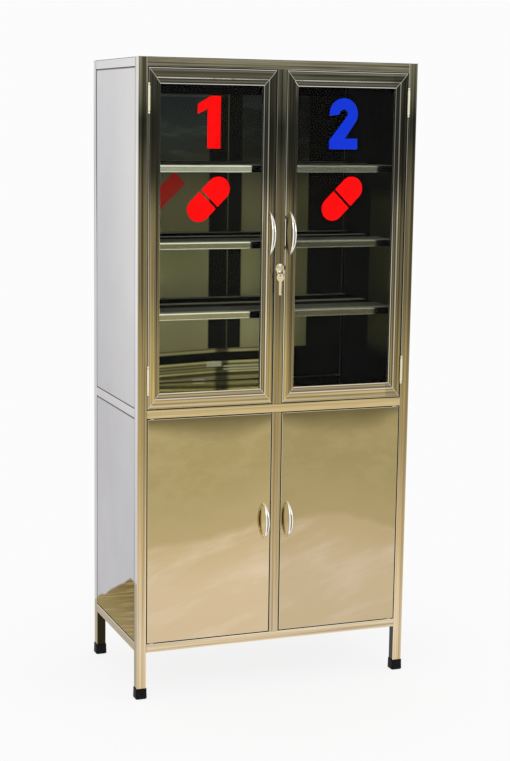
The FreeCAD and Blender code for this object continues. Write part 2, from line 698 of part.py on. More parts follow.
def make_lock():
    """A cam lock through the centre post, a double cam behind it, a keeper on each door, and its keys."""
    rim = rod("lock_rim_disc", "lock_rim_dia", "lock_rim", ("0", "front", "lock_height"), FACING_FRONT)
    barrel = rod("lock_barrel", "lock_dia", "lock_length", ("0", "lock_end", "lock_height"), FACING_FRONT)
    bore = rod("lock_bore", "plug_dia + 2 * plug_play", "lock_length + lock_rim + 2 * overrun",
               ("0", "lock_end + overrun", "lock_height"), FACING_FRONT)
    node(cut("lock_shell", fuse("lock_solid", [rim, barrel]), bore), "lock_body")
    nut = DOC.addObject("Part::Prism", "nut_blank")
    nut.Polygon = 6
    bind(nut, Circumradius="nut_across / sqrt(3)", Height="nut_thick")
    put(nut, ("0", "front + tube + nut_thick", "lock_height"), FACING_FRONT)
    nut_hole = rod("nut_hole", "lock_dia + 2 * lock_hole_play", "nut_thick + 2 * overrun",
                   ("0", "front + tube + nut_thick + overrun", "lock_height"), FACING_FRONT)
    node(cut("nut", nut, nut_hole), "lock_nut")
    core = rod("plug_core", "plug_dia", "lock_length + lock_rim + plug_proud",
               ("0", "lock_end", "lock_height"), FACING_FRONT)
    shank = block("plug_shank", ("shank_side", "cam_gap + cam_thick + shank_tail", "shank_side"),
                  ("-shank_side / 2", "lock_end", "lock_height - shank_side / 2"))
    slot_deep = "key_blade_length + key_play + plug_proud + overrun"
    slot = block("plug_slot", ("key_thick + 2 * key_play", slot_deep, "key_blade_width + 2 * key_play"),
                 ("-key_thick / 2 - key_play", "front - lock_rim - plug_proud - overrun",
                  "lock_height - key_blade_width / 2 - key_play"))
    node(cut("plug", fuse("plug_solid", [core, shank]), slot), "lock_plug")
    hole = "shank_side / 2 + shank_play"
    cam = prism("cam", [box_points("-cam_width / 2", "-cam_length / 2", "cam_width / 2", "cam_length / 2"),
                        box_points("-(%s)" % hole, "-(%s)" % hole, hole, hole)], "cam_thick")
    end = size("cam_length") / 2
    rounded(cam, "cam_round", lambda middle: near(abs(middle.y), end) and not near(middle.x, 0))
    node(put(cam, ("0", "cam_back", "lock_height"), FACING_FRONT), "lock_cam")
    make_keepers()
    key = key_shape("turning_key")
    node(put(key, ("0", "key_hole_y", "lock_height"), turned(AXIS_Z, -AXIS_Y)), "key")
    make_hanging_key()


def make_keepers():
    """A bent bracket on the back of each door's free stile, reaching behind the turned cam."""
    plate = "front + frame_depth"
    web = "door_free - keeper_web_inset"
    tip = "door_free - keeper_tip_inset"
    near_web = web + " - keeper_sheet"
    foot = near_web + " - keeper_foot"
    section = [(foot, plate), (web, plate), (web, "keeper_back - keeper_sheet"),
               (tip, "keeper_back - keeper_sheet"), (tip, "keeper_back"), (near_web, "keeper_back"),
               (near_web, plate + " + keeper_sheet"), (foot, plate + " + keeper_sheet")]
    keeper = prism("keeper", [section], "keeper_height")
    put(keeper, ("0", "0", "lock_height - keeper_height / 2"))
    both_sides(keeper, "lock_keeper")


def make_hanging_key():
    """A ring through the turning key's hole, and the second key hanging at the ring's lowest point."""
    lean = math.radians(RING_LEAN)
    ring = DOC.addObject("Part::Torus", "ring")
    bind(ring, Radius1="ring_dia / 2", Radius2="ring_wire / 2")
    ring_x = "-ring_dia / 2 * %s" % math.sin(lean)
    ring_z = "lock_height - ring_dia / 2 * %s" % math.cos(lean)
    node(put(ring, (ring_x, "key_hole_y", ring_z), FACING_FRONT), "key_ring")
    turn = math.radians(SPARE_KEY_TURN)
    spare = key_shape("hanging_key")
    across = FreeCAD.Vector(math.sin(turn), -math.cos(turn), 0)
    place = (ring_x, "key_hole_y", ring_z + " - ring_dia / 2 - key_hang_drop")
    node(put(spare, place, turned(across, AXIS_Z)), "spare_key")


def check_and_write():
    """Stop if anything failed to build, then write each sub-part to its own file."""
    DOC.recompute()
    for thing in DOC.Objects:
        if "Invalid" in thing.State or "Error" in thing.State:
            raise RuntimeError("%s failed: %s" % (thing.Label, thing.State))
    for thing in NODES:
        if thing.Shape.isNull() or not thing.Shape.isValid():
            raise RuntimeError("%s has no valid shape" % thing.Label)
    os.makedirs("parts", exist_ok=True)
    for thing in NODES:
        thing.Shape.exportStep("parts/%s.step" % thing.Label)
        print(thing.Label, len(thing.Shape.Solids), "solids", round(thing.Shape.Volume), "mm3")


fill_sheet()
make_posts()
make_rails()
make_feet()
make_panels()
make_shelves()
make_glazed_doors()
make_hinges()
make_steel_doors()
make_handles()
make_lock()
check_and_write()
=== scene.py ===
import math
from functools import cached_property

import bmesh
import bpy
import numpy as np
from bpy.props import FloatProperty, FloatVectorProperty, PointerProperty
from mathutils import Color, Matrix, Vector


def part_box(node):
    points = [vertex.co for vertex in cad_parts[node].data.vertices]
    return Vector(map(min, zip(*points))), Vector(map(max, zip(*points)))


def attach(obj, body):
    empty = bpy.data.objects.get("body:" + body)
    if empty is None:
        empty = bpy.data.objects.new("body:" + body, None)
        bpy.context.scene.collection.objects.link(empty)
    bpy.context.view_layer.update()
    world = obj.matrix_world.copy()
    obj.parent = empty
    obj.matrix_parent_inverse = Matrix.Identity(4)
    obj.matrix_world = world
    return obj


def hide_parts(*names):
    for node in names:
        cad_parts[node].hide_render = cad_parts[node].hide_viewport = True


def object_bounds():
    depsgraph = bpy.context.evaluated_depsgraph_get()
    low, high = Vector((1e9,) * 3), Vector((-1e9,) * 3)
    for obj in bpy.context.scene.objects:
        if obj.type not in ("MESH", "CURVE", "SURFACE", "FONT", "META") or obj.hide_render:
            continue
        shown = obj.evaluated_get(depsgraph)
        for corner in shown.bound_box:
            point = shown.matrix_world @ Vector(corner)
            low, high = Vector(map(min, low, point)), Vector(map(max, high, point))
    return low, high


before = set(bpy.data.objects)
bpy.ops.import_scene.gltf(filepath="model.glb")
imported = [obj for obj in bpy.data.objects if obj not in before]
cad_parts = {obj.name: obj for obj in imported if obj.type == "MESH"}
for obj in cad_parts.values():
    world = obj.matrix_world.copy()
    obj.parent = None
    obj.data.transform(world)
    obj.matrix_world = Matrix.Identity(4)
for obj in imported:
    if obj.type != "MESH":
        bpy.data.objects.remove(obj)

bl_info = {
    "name": "Medicine cabinet",
    "version": (1, 0, 0),
    "blender": (4, 5, 0),
    "location": "View3D > Sidebar > Cabinet",
    "description": "Finishes a polished steel medicine cabinet around its packed solids",
    "category": "Object",
}

CAD_BOX = [list(corner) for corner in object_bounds()]

CABINET_HEIGHT = float(CAD_BOX[1][2])
HALF_WIDTH = float(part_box("post_front_right")[1][0])
FRONT = float(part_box("post_front_left")[0][1])
CENTRE_HALF = float(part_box("centre_post_upper")[1][0])
DOOR_TOP = float(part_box("lower_door_skin_left")[1][2])
HANDS = {"left": -1.0, "right": 1.0}
PICKED_WHITE = 255.0


def corners(name):
    """The low and the high corner of a CAD node's box."""
    return [np.array(corner, dtype=float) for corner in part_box(name)]


def linear(picked):
    """A picked colour as the linear colour with alpha that a shader socket takes."""
    return (*Color(picked[:3]).from_srgb_to_scene_linear(), 1.0)


def colour(label, what, *picked):
    """A colour property with its default given from 0 to 255, as it is picked on screen."""
    return FloatVectorProperty(name=label, description=what, default=[part / PICKED_WHITE for part in picked],
                               subtype="COLOR_GAMMA", size=3, min=0.0, max=1.0)


def length(label, what, metres):
    """A length property in metres."""
    return FloatProperty(name=label, description=what, default=metres, subtype="DISTANCE", unit="LENGTH")


def share(label, what, default):
    """A plain fraction from 0 to 1."""
    return FloatProperty(name=label, description=what, default=default, min=0.0, max=1.0, subtype="FACTOR")


def power(label, what, watts):
    """The power of a light."""
    return FloatProperty(name=label, description=what, default=watts, unit="POWER")


class CarcassTones(bpy.types.PropertyGroup):
    """Colours of painted reflections of the room, with painted light and shade, that the polished outside
    shows, from the floor upwards.
    """
    # Painted reflections of the room on the front, by height; the middle rail tone is painted light about the
    # middle.
    leg: colour("Leg", "Front of the posts near the floor", 205, 182, 141)
    bottom_rail: colour("Bottom rail", "Front of the bottom rail", 213, 192, 158)
    lower_post: colour("Lower post", "Front beside the lower doors", 199, 174, 130)
    below_middle: colour("Below the middle", "Front just below the middle rail", 168, 147, 100)
    middle_rail: colour("Middle rail", "Middle rail and the bars just above it", 192, 171, 124)
    above_middle: colour("Above the middle", "Front just above the middle rail", 148, 131, 88)
    lock_height: colour("Lock height", "Front at the height of the lock", 114, 102, 72)
    shoulder: colour("Shoulder", "Front above the handles", 100, 91, 66)
    collar: colour("Collar", "Front above the shoulder", 74, 70, 54)
    dark_band: colour("Dark band", "Darkest part of the front", 50, 51, 41)
    brow: colour("Brow", "Front below the top rail", 88, 86, 69)
    crown: colour("Crown", "Front of the top rail", 112, 108, 88)
    # Painted highlights on bevels and painted reflections on the hinge barrels.
    bright_bevel: colour("Bright bevel", "Edges that catch the light", 232, 229, 216)
    hinge: colour("Hinge", "Barrels of the hinges", 222, 217, 190)
    # Painted reflections on the sides, with painted light towards the front.
    side_foot: colour("Side foot", "Sides near the floor", 181, 179, 182)
    side_head: colour("Side head", "Sides near the top", 204, 203, 205)
    side_front: colour("Side front", "Sides towards the front", 214, 212, 211)
    seam: colour("Seam", "Seams round the side panels", 40, 38, 38)
    # Painted reflection of the floor low on the sides and on the sides of the legs, with pale painted
    # reflection streaks.
    side_pool: colour("Side pool", "Brown patch low on the sides", 150, 132, 90)
    side_pool_top: colour("Side pool top", "Upper edge of that patch", 122, 103, 62)
    pool_streak: colour("Pool streak", "Pale streaks in that patch", 184, 166, 124)
    leg_side: colour("Leg side", "Sides of the legs and of the bottom rails", 152, 131, 88)
    # Painted shade on faces that look inwards and on the fronts of the rear posts.
    inner_side: colour("Inner side", "Faces of the posts and doors that look inwards", 104, 95, 72)
    inner_leg: colour("Inner leg", "Faces of the legs that look inwards", 30, 28, 19)
    rear_leg: colour("Rear leg", "Fronts of the rear posts", 44, 38, 22)
    # Painted light and shade by the way a face looks: up, down and back.
    upward: colour("Upward faces", "Faces that look up", 208, 205, 198)
    downward: colour("Downward faces", "Faces that look down", 96, 86, 62)
    rear: colour("Rear faces", "Faces that look back", 186, 185, 184)


class DoorTones(bpy.types.PropertyGroup):
    """Colours of the lower doors, the door marks and the glass."""
    # Painted reflections of the room on the lower doors: painted shade along the top, gold below and a bright
    # pool with faint clouds low down.
    top_shade: colour("Top shade", "Dark wedge along the top of a lower door", 98, 88, 56)
    upper: colour("Upper part", "Upper part of a lower door", 170, 153, 103)
    middle: colour("Middle part", "Lower door just above the bright pool", 184, 164, 117)
    pool_edge: colour("Pool edge", "Pool just below its edge", 199, 176, 132)
    pool: colour("Pool", "Bright pool in the bottom of a lower door", 212, 189, 152)
    cloud: colour("Cloud", "Faint clouds in the pool", 223, 203, 174)
    glass: colour("Glass", "Tint of the panes", 243, 248, 245)
    red_vinyl: colour("Red vinyl", "Red marks on the glass", 255, 2, 2)
    blue_vinyl: colour("Blue vinyl", "Blue numeral on the glass", 12, 52, 214)
    rubber: colour("Rubber", "Feet", 9, 9, 9)
    strip: colour("Strip", "Glazing strips", 104, 103, 99)
    nylon: colour("Nylon", "Bushes of the lower doors", 228, 227, 220)
    magnet: colour("Magnet", "Magnet catches", 48, 46, 45)
    chrome: colour("Chrome", "Handles and lock", 255, 252, 240)
    brass: colour("Brass", "Keys", 214, 197, 154)
    # Painted reflection of the room in dark bars on the chrome.
    chrome_dark: colour("Chrome dark", "Dark bars in the chrome", 66, 56, 36)


class InsideTones(bpy.types.PropertyGroup):
    """Colours inside the upper compartment, most of them painted reflections, painted light and painted
    shade.
    """
    # Painted reflections in the back wall, darker towards the top, with painted light in wisps.
    wall_low: colour("Wall low", "Back wall near the deck", 182, 174, 128)
    wall: colour("Wall", "Back wall above the lower shelf", 162, 156, 108)
    wall_mid: colour("Wall middle", "Back wall below the upper shelf", 138, 129, 92)
    wall_high: colour("Wall high", "Back wall above the upper shelf", 78, 80, 68)
    wall_top: colour("Wall top", "Back wall near the top", 56, 66, 68)
    wisp: colour("Wisp", "Soft wisps of light above the upper shelf", 112, 116, 108)
    # Painted reflections of the stiles and posts in dark bands, also painted shade inside the carcass, on the
    # centre post and on the door frames.
    wall_dark: colour("Wall dark", "Dark bands in the back wall", 26, 26, 19)
    # Painted shade in a strip below the top and at the right foot of the back wall.
    deepest_shade: colour("Ceiling", "Strip below the top", 12, 12, 8)
    # Painted reflection of the red mark in the back wall.
    ghost: colour("Ghost", "Image of the red mark in the back wall", 236, 10, 8)
    # Painted highlights on edges and in the back wall.
    glint: colour("Glint", "Bright edges and glints", 252, 249, 222)
    # Painted light in an olive patch on the inner skins of the sides.
    liner: colour("Liner", "Olive patch on the inner skins of the sides", 122, 122, 94)
    # Lips of the three shelves in painted light of different strength, with painted shade at their ends.
    lip: colour("Lip", "Front lip of the upper shelf", 170, 165, 147)
    lip_mid: colour("Middle lip", "Front lip of the middle shelf", 122, 113, 86)
    lip_low: colour("Lower lip", "Front lip of the lower shelf", 150, 137, 101)
    lip_end: colour("Lip end", "Dark ends of the lips", 22, 22, 12)
    # Light stripes of painted reflection on the shelf tops and the upper deck.
    shelf: colour("Shelf", "Tops of the shelves", 250, 244, 215)
    deck: colour("Deck", "Floor of the upper compartment", 255, 240, 172)
    lower: colour("Lower compartment", "Walls behind the steel doors", 214, 209, 194)


class FittingSizes(bpy.types.PropertyGroup):
    """Sizes of the pieces that only the visual model has."""
    numeral_height: length("Numeral height", "Height of the door numerals", 0.127)
    numeral_middle: length("Numeral middle", "Height of their middle above the floor", 1.447)
    mark_shift: length("Mark shift", "How far the marks stand right of the middle of a pane", -0.008)
    capsule_length: length("Capsule length", "Length of the capsule mark", 0.132)
    capsule_width: length("Capsule width", "Width of the capsule mark", 0.060)
    capsule_middle: length("Capsule middle", "Height of its middle above the floor", 1.260)
    capsule_gap: length("Capsule gap", "Gap between its two halves", 0.006)
    vinyl_thick: length("Vinyl thickness", "Thickness of the film", 0.0003)
    screw_head: length("Screw head", "Diameter of the handle screws' heads", 0.0078)
    screw_rise: length("Screw rise", "Height of the handle screws' heads", 0.0024)
    foot_round: length("Foot rounding", "Rounding of the feet at the floor", 0.0030)


class StageSettings(bpy.types.PropertyGroup):
    """Floor, light and camera."""
    white: share("Backdrop", "Level of the pale backdrop", 0.970)
    surround: share("Surround", "Level of the light from all round", 0.86)
    floor: share("Floor", "Paleness of the floor", 0.95)
    veil: share("Veil", "How much of its own white the floor keeps in the shadow", 0.88)
    floor_size: length("Floor size", "Half the side of the floor", 6.0)
    key_power: power("Key light", "Power of the large soft light", 22.0)
    fill_power: power("Fill light", "Power of the light on the right", 9.0)
    camera_place: FloatVectorProperty(name="Camera place", description="Where the camera stands",
                                      default=(-1.51434, -3.9675, 1.46071), subtype="TRANSLATION",
                                      unit="LENGTH")
    camera_turn: FloatVectorProperty(name="Camera turn", description="Tilt, roll and heading of the camera",
                                     default=(1.41052, -0.01400, -0.36439), subtype="EULER", unit="ROTATION")
    lens: FloatProperty(name="Lens", description="Focal length in millimetres on a 36 mm frame",
                        default=77.095)


class CabinetSettings(bpy.types.PropertyGroup):
    """All the settings of the cabinet."""
    carcass: PointerProperty(type=CarcassTones, name="Carcass", description="Outside of the carcass")
    doors: PointerProperty(type=DoorTones, name="Doors", description="Doors and fittings")
    inside: PointerProperty(type=InsideTones, name="Inside", description="Upper compartment")
    fittings: PointerProperty(type=FittingSizes, name="Fittings", description="Marks, screws and feet")
    stage: PointerProperty(type=StageSettings, name="Stage", description="Floor, light and camera")


def settings():
    """The settings kept with the scene."""
    return bpy.context.scene.cabinet_settings


class Wire:
    """An output of a node. Arithmetic with it adds math nodes to the same tree."""

    def __init__(self, pen, socket):
        self.pen = pen
        self.socket = socket

    def __add__(self, other):
        return self.pen.math("ADD", self, other)

    def __sub__(self, other):
        return self.pen.math("SUBTRACT", self, other)

    def __rsub__(self, other):
        return self.pen.math("SUBTRACT", other, self)

    def __mul__(self, other):
        return self.pen.math("MULTIPLY", self, other)

    def __truediv__(self, other):
        return self.pen.math("DIVIDE", self, other)

    def __pow__(self, other):
        return self.pen.math("POWER", self, other)

    def __neg__(self):
        return self * -1.0

    def __abs__(self):
        return self.pen.math("ABSOLUTE", self)


MIX_FACTOR, MIX_FIRST, MIX_SECOND, MIX_COLOUR = 0, 6, 7, 2


class Pen:
    """Adds nodes to one node tree. A value may be a number, a tuple, a picked colour or a wire."""

    def __init__(self, tree):
        self.tree = tree

    def fill(self, node, inputs):
        """Feeds a node's inputs, each by name or place."""
        for key, value in inputs.items():
            if isinstance(value, Wire):
                self.tree.links.new(value.socket, node.inputs[key])
            else:
                node.inputs[key].default_value = linear(value) if isinstance(value, Color) else value

    def node(self, kind, inputs=None, **choices):
        """A new node with its choices set and its inputs fed."""
        node = self.tree.nodes.new(kind)
        for name, value in choices.items():
            setattr(node, name, value)
        self.fill(node, inputs or {})
        return node

    def wire(self, kind, inputs=None, output=0, **choices):
        """One output of a new node."""
        return Wire(self, self.node(kind, inputs, **choices).outputs[output])

    def wires(self, node):
        """A node's outputs by name."""
        return {part.name: Wire(self, part) for part in node.outputs}

    def math(self, operation, *values):
        """One arithmetic node."""
        return self.wire("ShaderNodeMath", dict(enumerate(values)), operation=operation)

    def band(self, value, low, high, first=0.0, last=1.0, ease="SMOOTHSTEP"):
        """First at low, last at high and smooth between; low may be the larger."""
        ends = {"Value": value, "From Min": low, "From Max": high, "To Min": first, "To Max": last}
        return self.wire("ShaderNodeMapRange", ends, "Result", interpolation_type=ease)

    def strip(self, value, low, high, soft):
        """1 between low and high, with soft ends."""
        return self.band(value, low - soft, low + soft) * self.band(value, high + soft, high - soft)

    def mix(self, factor, first, second, blend="MIX"):
        """A mix of two colours."""
        colours = {MIX_FACTOR: factor, MIX_FIRST: first, MIX_SECOND: second}
        return self.wire("ShaderNodeMix", colours, MIX_COLOUR, data_type="RGBA", blend_type=blend)

    def patched(self, base, tones, *patches):
        """A colour with patches laid over it in turn. Each is a tone's name, its amount, and its spans across
        and up: the two ends of one soft edge, or a low, a high and a softness."""
        for name, mask, *spans in patches:
            for part, span in zip(self.place[::2], spans):
                if span:
                    mask = (self.band if len(span) == 2 else self.strip)(part, *span) * mask
            base = self.mix(mask, base, getattr(tones, name))
        return base

    def ramp(self, value, stops, easing="LINEAR"):
        """A colour ramp through (place, colour) stops."""
        shade = self.wire("ShaderNodeValToRGB", {"Fac": value}, "Color")
        strip = shade.socket.node.color_ramp
        strip.interpolation = easing
        for element, stop in zip(strip.elements, (stops[0], stops[-1])):
            element.position, element.color = stop
        for place, colour_there in stops[1:-1]:
            strip.elements.new(place).color = colour_there
        return shade

    def level(self, value, stops, easing="LINEAR"):
        """A ramp through (place, number) stops."""
        greys = [(place, (number, number, number, 1.0)) for place, number in stops]
        return self.split(self.ramp(value, greys, easing))[0]

    def scaled(self, vector, factors):
        """A vector with each axis multiplied by its own factor."""
        return self.wire("ShaderNodeVectorMath", {0: vector, 1: factors}, operation="MULTIPLY")

    def noise(self, scale, detail=3.0, roughness=0.5, vector=None):
        """Soft noise from 0 to 1, at the point itself unless told; three scales draw it out by axis."""
        vector = vector or self.vector
        if not isinstance(scale, float):
            vector, scale = self.scaled(vector, scale), 1.0
        inputs = {"Vector": vector, "Scale": scale, "Detail": detail, "Roughness": roughness}
        return self.wire("ShaderNodeTexNoise", inputs, "Fac")

    def waver(self, amount, scale, detail=2.0):
        """Soft noise about zero."""
        return (self.noise(scale, detail) - 0.5) * amount

    def relief(self, height, strength, depth):
        """The direction of a surface with a bump."""
        return self.wire("ShaderNodeBump", {"Height": height, "Strength": strength, "Distance": depth})

    def split(self, vector):
        """The three parts of a vector."""
        return [Wire(self, part) for part in self.node("ShaderNodeSeparateXYZ", {0: vector}).outputs]

    def combined(self, *parts):
        """A vector of three parts."""
        return self.wire("ShaderNodeCombineXYZ", dict(enumerate(parts)))

    @cached_property
    def vector(self):
        """The point's own coordinates, in metres."""
        return self.wire("ShaderNodeTexCoord", output="Object")

    @cached_property
    def place(self):
        """The same in parts."""
        return self.split(self.vector)

    @cached_property
    def facing(self):
        """The parts of the direction that the surface faces."""
        return self.split(self.wire("ShaderNodeTexCoord", output="Normal"))

    @cached_property
    def outward(self):
        """How far the surface faces away from the middle of the cabinet, to either side."""
        return self.math("SIGN", self.place[0]) * self.facing[0]

    def use(self, group, **values):
        """Places a node group; returns its outputs by name."""
        return self.wires(self.node("ShaderNodeGroup", values, node_tree=group))


NUMBER, VECTOR, COLOUR = "NodeSocketFloat", "NodeSocketVector", "NodeSocketColor"


def shared_group(name, draw, inputs, outputs):
    """A node group, drawn on its first use by a function that says what each output shows."""
    if name in bpy.data.node_groups:
        return bpy.data.node_groups[name]
    tree = bpy.data.node_groups.new(name, "ShaderNodeTree")
    for label, kind, default in inputs:
        tree.interface.new_socket(label, in_out="INPUT", socket_type=kind).default_value = default
    for label, kind in outputs:
        tree.interface.new_socket(label, in_out="OUTPUT", socket_type=kind)
    pen = Pen(tree)
    given = pen.wires(pen.node("NodeGroupInput"))
    pen.node("NodeGroupOutput", draw(pen, given))
    return tree


SIDE_POOL_RISE, SIDE_POOL_SLOPE, SIDE_POOL_TOP, SIDE_POOL_SOFT = 0.245, -0.43, 0.300, 0.004
FLAT_ON, FULL_ON = (0.7, 0.9), (0.80, 0.97)


def side_pool_mask(pen):
    """1 in the painted reflection of the floor low on the sides, whose wavy edge rises towards the front up
    to a level top.
    """
    _, y, z = pen.place
    edge = pen.math("MINIMUM", y * SIDE_POOL_SLOPE + SIDE_POOL_RISE, SIDE_POOL_TOP)
    return pen.band(z - edge - pen.waver(0.014, scale=14.0), SIDE_POOL_SOFT, -SIDE_POOL_SOFT)


def facing_up(pen):
    """1 where the surface looks up."""
    return pen.band(pen.facing[2], *FLAT_ON)


def facing_front(pen):
    """1 where the surface looks to the front."""
    return pen.band(-pen.facing[1], *FLAT_ON)


def inset(value, low, high):
    """How far inside low and high a value lies."""
    return float(high - low) / 2 - abs(value - float(high + low) / 2)


def heights(*stops):
    """Ramp stops given by height above the floor as stops from 0 to 1."""
    return [(height / CABINET_HEIGHT, linear(shade)) for height, shade in stops]


# Painted shade on the legs' inner faces and the rear posts, painted light on the sides and painted highlights
# on bevels.
LEG_TOP, INWARD, REAR_POSTS = (0.125, 0.120), (0.5, 0.8), (0.10, 0.12)
SIDE_LIGHT_BACK, SIDE_LIGHT_RISE = 0.15, (0.2, 1.5)
STILE_BEVEL, LEVEL_BEVEL = 0.60, (0.15, 0.5)


def draw_room_reflection(pen, given):
    """Colour of polished steel in painted reflections of the room and painted light and shade, by where it is
    and which way it faces: a ramp by height on the front, paler ramps on the sides, top and back, and painted
    highlights on bevels, which face between two of these."""
    tones = settings().carcass
    _, y, z = pen.place
    nx, ny, nz = pen.facing
    height = z / CABINET_HEIGHT
    front = pen.ramp(height + pen.waver(0.06, scale=(9.0, 9.0, 0.9)), heights(
        (0.0, tones.leg), (0.13, tones.bottom_rail), (0.36, tones.lower_post), (0.63, tones.below_middle),
        (0.87, tones.above_middle), (1.02, tones.lock_height), (1.25, tones.shoulder), (1.35, tones.collar),
        (1.41, tones.dark_band), (1.45, tones.dark_band), (1.50, tones.brow), (1.60, tones.crown)))
    # Painted shade on the fronts of the rear posts.
    front = pen.mix(pen.band(y, *REAR_POSTS), front, tones.rear_leg)
    side = pen.ramp(height, heights((0.0, tones.side_foot), (0.7, tones.side_foot), (1.6, tones.side_head)))
    # Painted light on the sides towards the front, and the painted reflection of the floor low down.
    towards_front = pen.band(y, SIDE_LIGHT_BACK, FRONT) * pen.band(z, *SIDE_LIGHT_RISE)
    side = pen.mix(towards_front, side, tones.side_front)
    side = pen.mix(side_pool_mask(pen), side, tones.leg_side)
    # Painted shade on faces that look inwards, deepest on the legs.
    inner = pen.mix(pen.band(z, *LEG_TOP), tones.inner_side, tones.inner_leg)
    side = pen.mix(pen.band(-pen.outward, *INWARD), side, inner)
    # Painted highlights on the bevels.
    bevel = pen.mix(STILE_BEVEL, front, tones.bright_bevel)
    tone = pen.mix(pen.band(abs(nz), *LEVEL_BEVEL), bevel, tones.bright_bevel)
    # Painted light and shade by facing: pale up and back, dark down.
    for part, shade in ((abs(nx), side), (nz, tones.upward), (-nz, tones.downward), (ny, tones.rear),
                        (-ny, front)):
        tone = pen.mix(pen.band(part, *FULL_ON), tone, shade)
    return {"Color": tone}


ALONG_X, ALONG_Y, ALONG_Z = (25.0, 700.0, 700.0), (700.0, 25.0, 700.0), (700.0, 700.0, 25.0)
USUAL_STRENGTH, GRAIN_SHARE, HAZE_SHARE = 0.08, 0.6, 0.4


def draw_polish(pen, given):
    """Marks of polishing: Grain is fine hairlines drawn out along the axis with the smallest stretch, Haze is
    broad smudges, and Shade is a multiplier from 1 up that both leave on the colour."""
    grain = pen.noise(given["Stretch"], detail=4.0, roughness=0.65)
    haze = pen.noise(7.0, detail=4.0, roughness=0.6)
    both = grain * GRAIN_SHARE + haze * HAZE_SHARE
    return {"Grain": grain, "Haze": haze, "Shade": both * given["Strength"] + 1.0}


def polish(pen, stretch, strength):
    """The marks of polishing, placed in a tree."""
    inputs = (("Stretch", VECTOR, ALONG_X), ("Strength", NUMBER, USUAL_STRENGTH))
    outputs = (("Grain", NUMBER), ("Haze", NUMBER), ("Shade", COLOUR))
    return pen.use(shared_group("Polish", draw_polish, inputs, outputs), Stretch=stretch, Strength=strength)


# Bands of painted reflection along bright tubes.
STREAK_STOPS = ((0.0, 0.16), (0.38, 0.24), (0.44, 0.74), (0.50, 1.0), (0.55, 1.0), (0.60, 1.7), (0.66, 1.1),
                (1.0, 1.9))
STREAK_PEAK, STREAK_RISE = 2.0, (0.75, 1.25)
STREAKS_UP, STREAKS_ACROSS = (190.0, 150.0, 1.1), (1.6, 150.0, 230.0)
WHITE = (1.0, 1.0, 1.0, 1.0)


def draw_streaks(pen, given):
    """Painted reflections of the room in a bright tube: long bands across the tube, drawn out along it, that
    darken and lighten its colour, by an amount that is given."""
    stops = [(place, amount / STREAK_PEAK) for place, amount in STREAK_STOPS]
    level = pen.level(pen.noise(given["Stretch"], detail=2.0, roughness=0.6), stops) * STREAK_PEAK
    shade = pen.mix(1.0, given["Color"], level, "MULTIPLY")
    return {"Color": pen.mix(given["Amount"], given["Color"], shade)}


def streaked(pen, tone, stretch, low=0.4, high=0.9):
    """A tone with streaks of painted reflection, whose amount is low in the bottom half of the cabinet and
    high near the top.
    """
    inputs = (("Color", COLOUR, WHITE), ("Stretch", VECTOR, STREAKS_UP), ("Amount", NUMBER, 1.0))
    group = shared_group("Streaks", draw_streaks, inputs, (("Color", COLOUR),))
    amount = pen.band(pen.place[2], *STREAK_RISE, low, high, "LINEAR")
    return pen.use(group, Color=tone, Stretch=stretch, Amount=amount)["Color"]


# Painted shade on the centre post and painted light on the middle rails.
CENTRE_EDGE, CENTRE_RISE, CENTRE_DARK = 0.002, (1.25, 1.45), (0.10, 0.57)
MIDDLE_BARS, FORWARDS = (0.69, 0.79, 0.01), (0.2, -0.2)


def upright_paint(pen, tone):
    """Posts: upright streaks of painted reflection, and the centre post a little darker with painted shade,
    more so near its top.
    """
    x, _, z = pen.place
    centre = pen.band(abs(x), CENTRE_HALF + CENTRE_EDGE, CENTRE_HALF)
    tone = pen.mix(centre * pen.band(z, *CENTRE_RISE, *CENTRE_DARK), tone, settings().inside.wall_dark)
    return streaked(pen, tone, STREAKS_UP, high=0.8)


def level_paint(pen, tone):
    """Rails and the glazed doors' bars: brighter with painted light about the middle of the cabinet, with
    level streaks of painted reflection.
    """
    bright = pen.strip(pen.place[2], *MIDDLE_BARS) * pen.band(pen.facing[1], *FORWARDS)
    return streaked(pen, pen.mix(bright, tone, settings().carcass.middle_rail), STREAKS_ACROSS)


def start_material(name):
    """A material with nothing but a Principled shader; returns it, its pen and the shader."""
    material = bpy.data.materials.new(name)
    material.use_nodes = True
    return material, Pen(material.node_tree), material.node_tree.nodes["Principled BSDF"]


def both_hands(*names):
    """Left and right names of handed nodes."""
    return [name + "_" + hand for name in names for hand in HANDS]


def finish_nodes(material, *names):
    """Gives CAD nodes a finish through their own material slots."""
    for name in names:
        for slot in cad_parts[name].material_slots:
            slot.material = material


HAZE_RANGE = (0.3, 0.7)


def polished(name, nodes, paint=None, stretch=ALONG_Z, strength=USUAL_STRENGTH, smooth=0.10, rough=0.20,
             dull=None):
    """Finishes nodes in polished stainless steel: its painted reflections of the room with painted light and
    shade, changed by paint if given, with hairlines and smudges in colour, roughness and bump. Where a mask
    says, it loses its metal and gloss, so that painted reflections there show as painted, as on the shelf
    tops and low on the sides."""
    material, pen, shader = start_material(name)
    # The room tone is painted reflection with painted light and shade.
    tone = pen.use(shared_group("Room tone", draw_room_reflection, (), (("Color", COLOUR),)))["Color"]
    if paint:
        tone = paint(pen, tone)
    marks = polish(pen, stretch, strength)
    pen.fill(shader, {"Base Color": pen.mix(1.0, tone, marks["Shade"], "MULTIPLY"), "Metallic": 1.0,
                      "Roughness": pen.band(marks["Haze"], *HAZE_RANGE, smooth, rough, "LINEAR"),
                      "Normal": pen.relief(marks["Grain"], strength=0.010, depth=0.001)})
    if dull:
        pen.fill(shader, {"Metallic": 1.0 - dull(pen), "Specular IOR Level": 0.0})
    finish_nodes(material, *nodes)


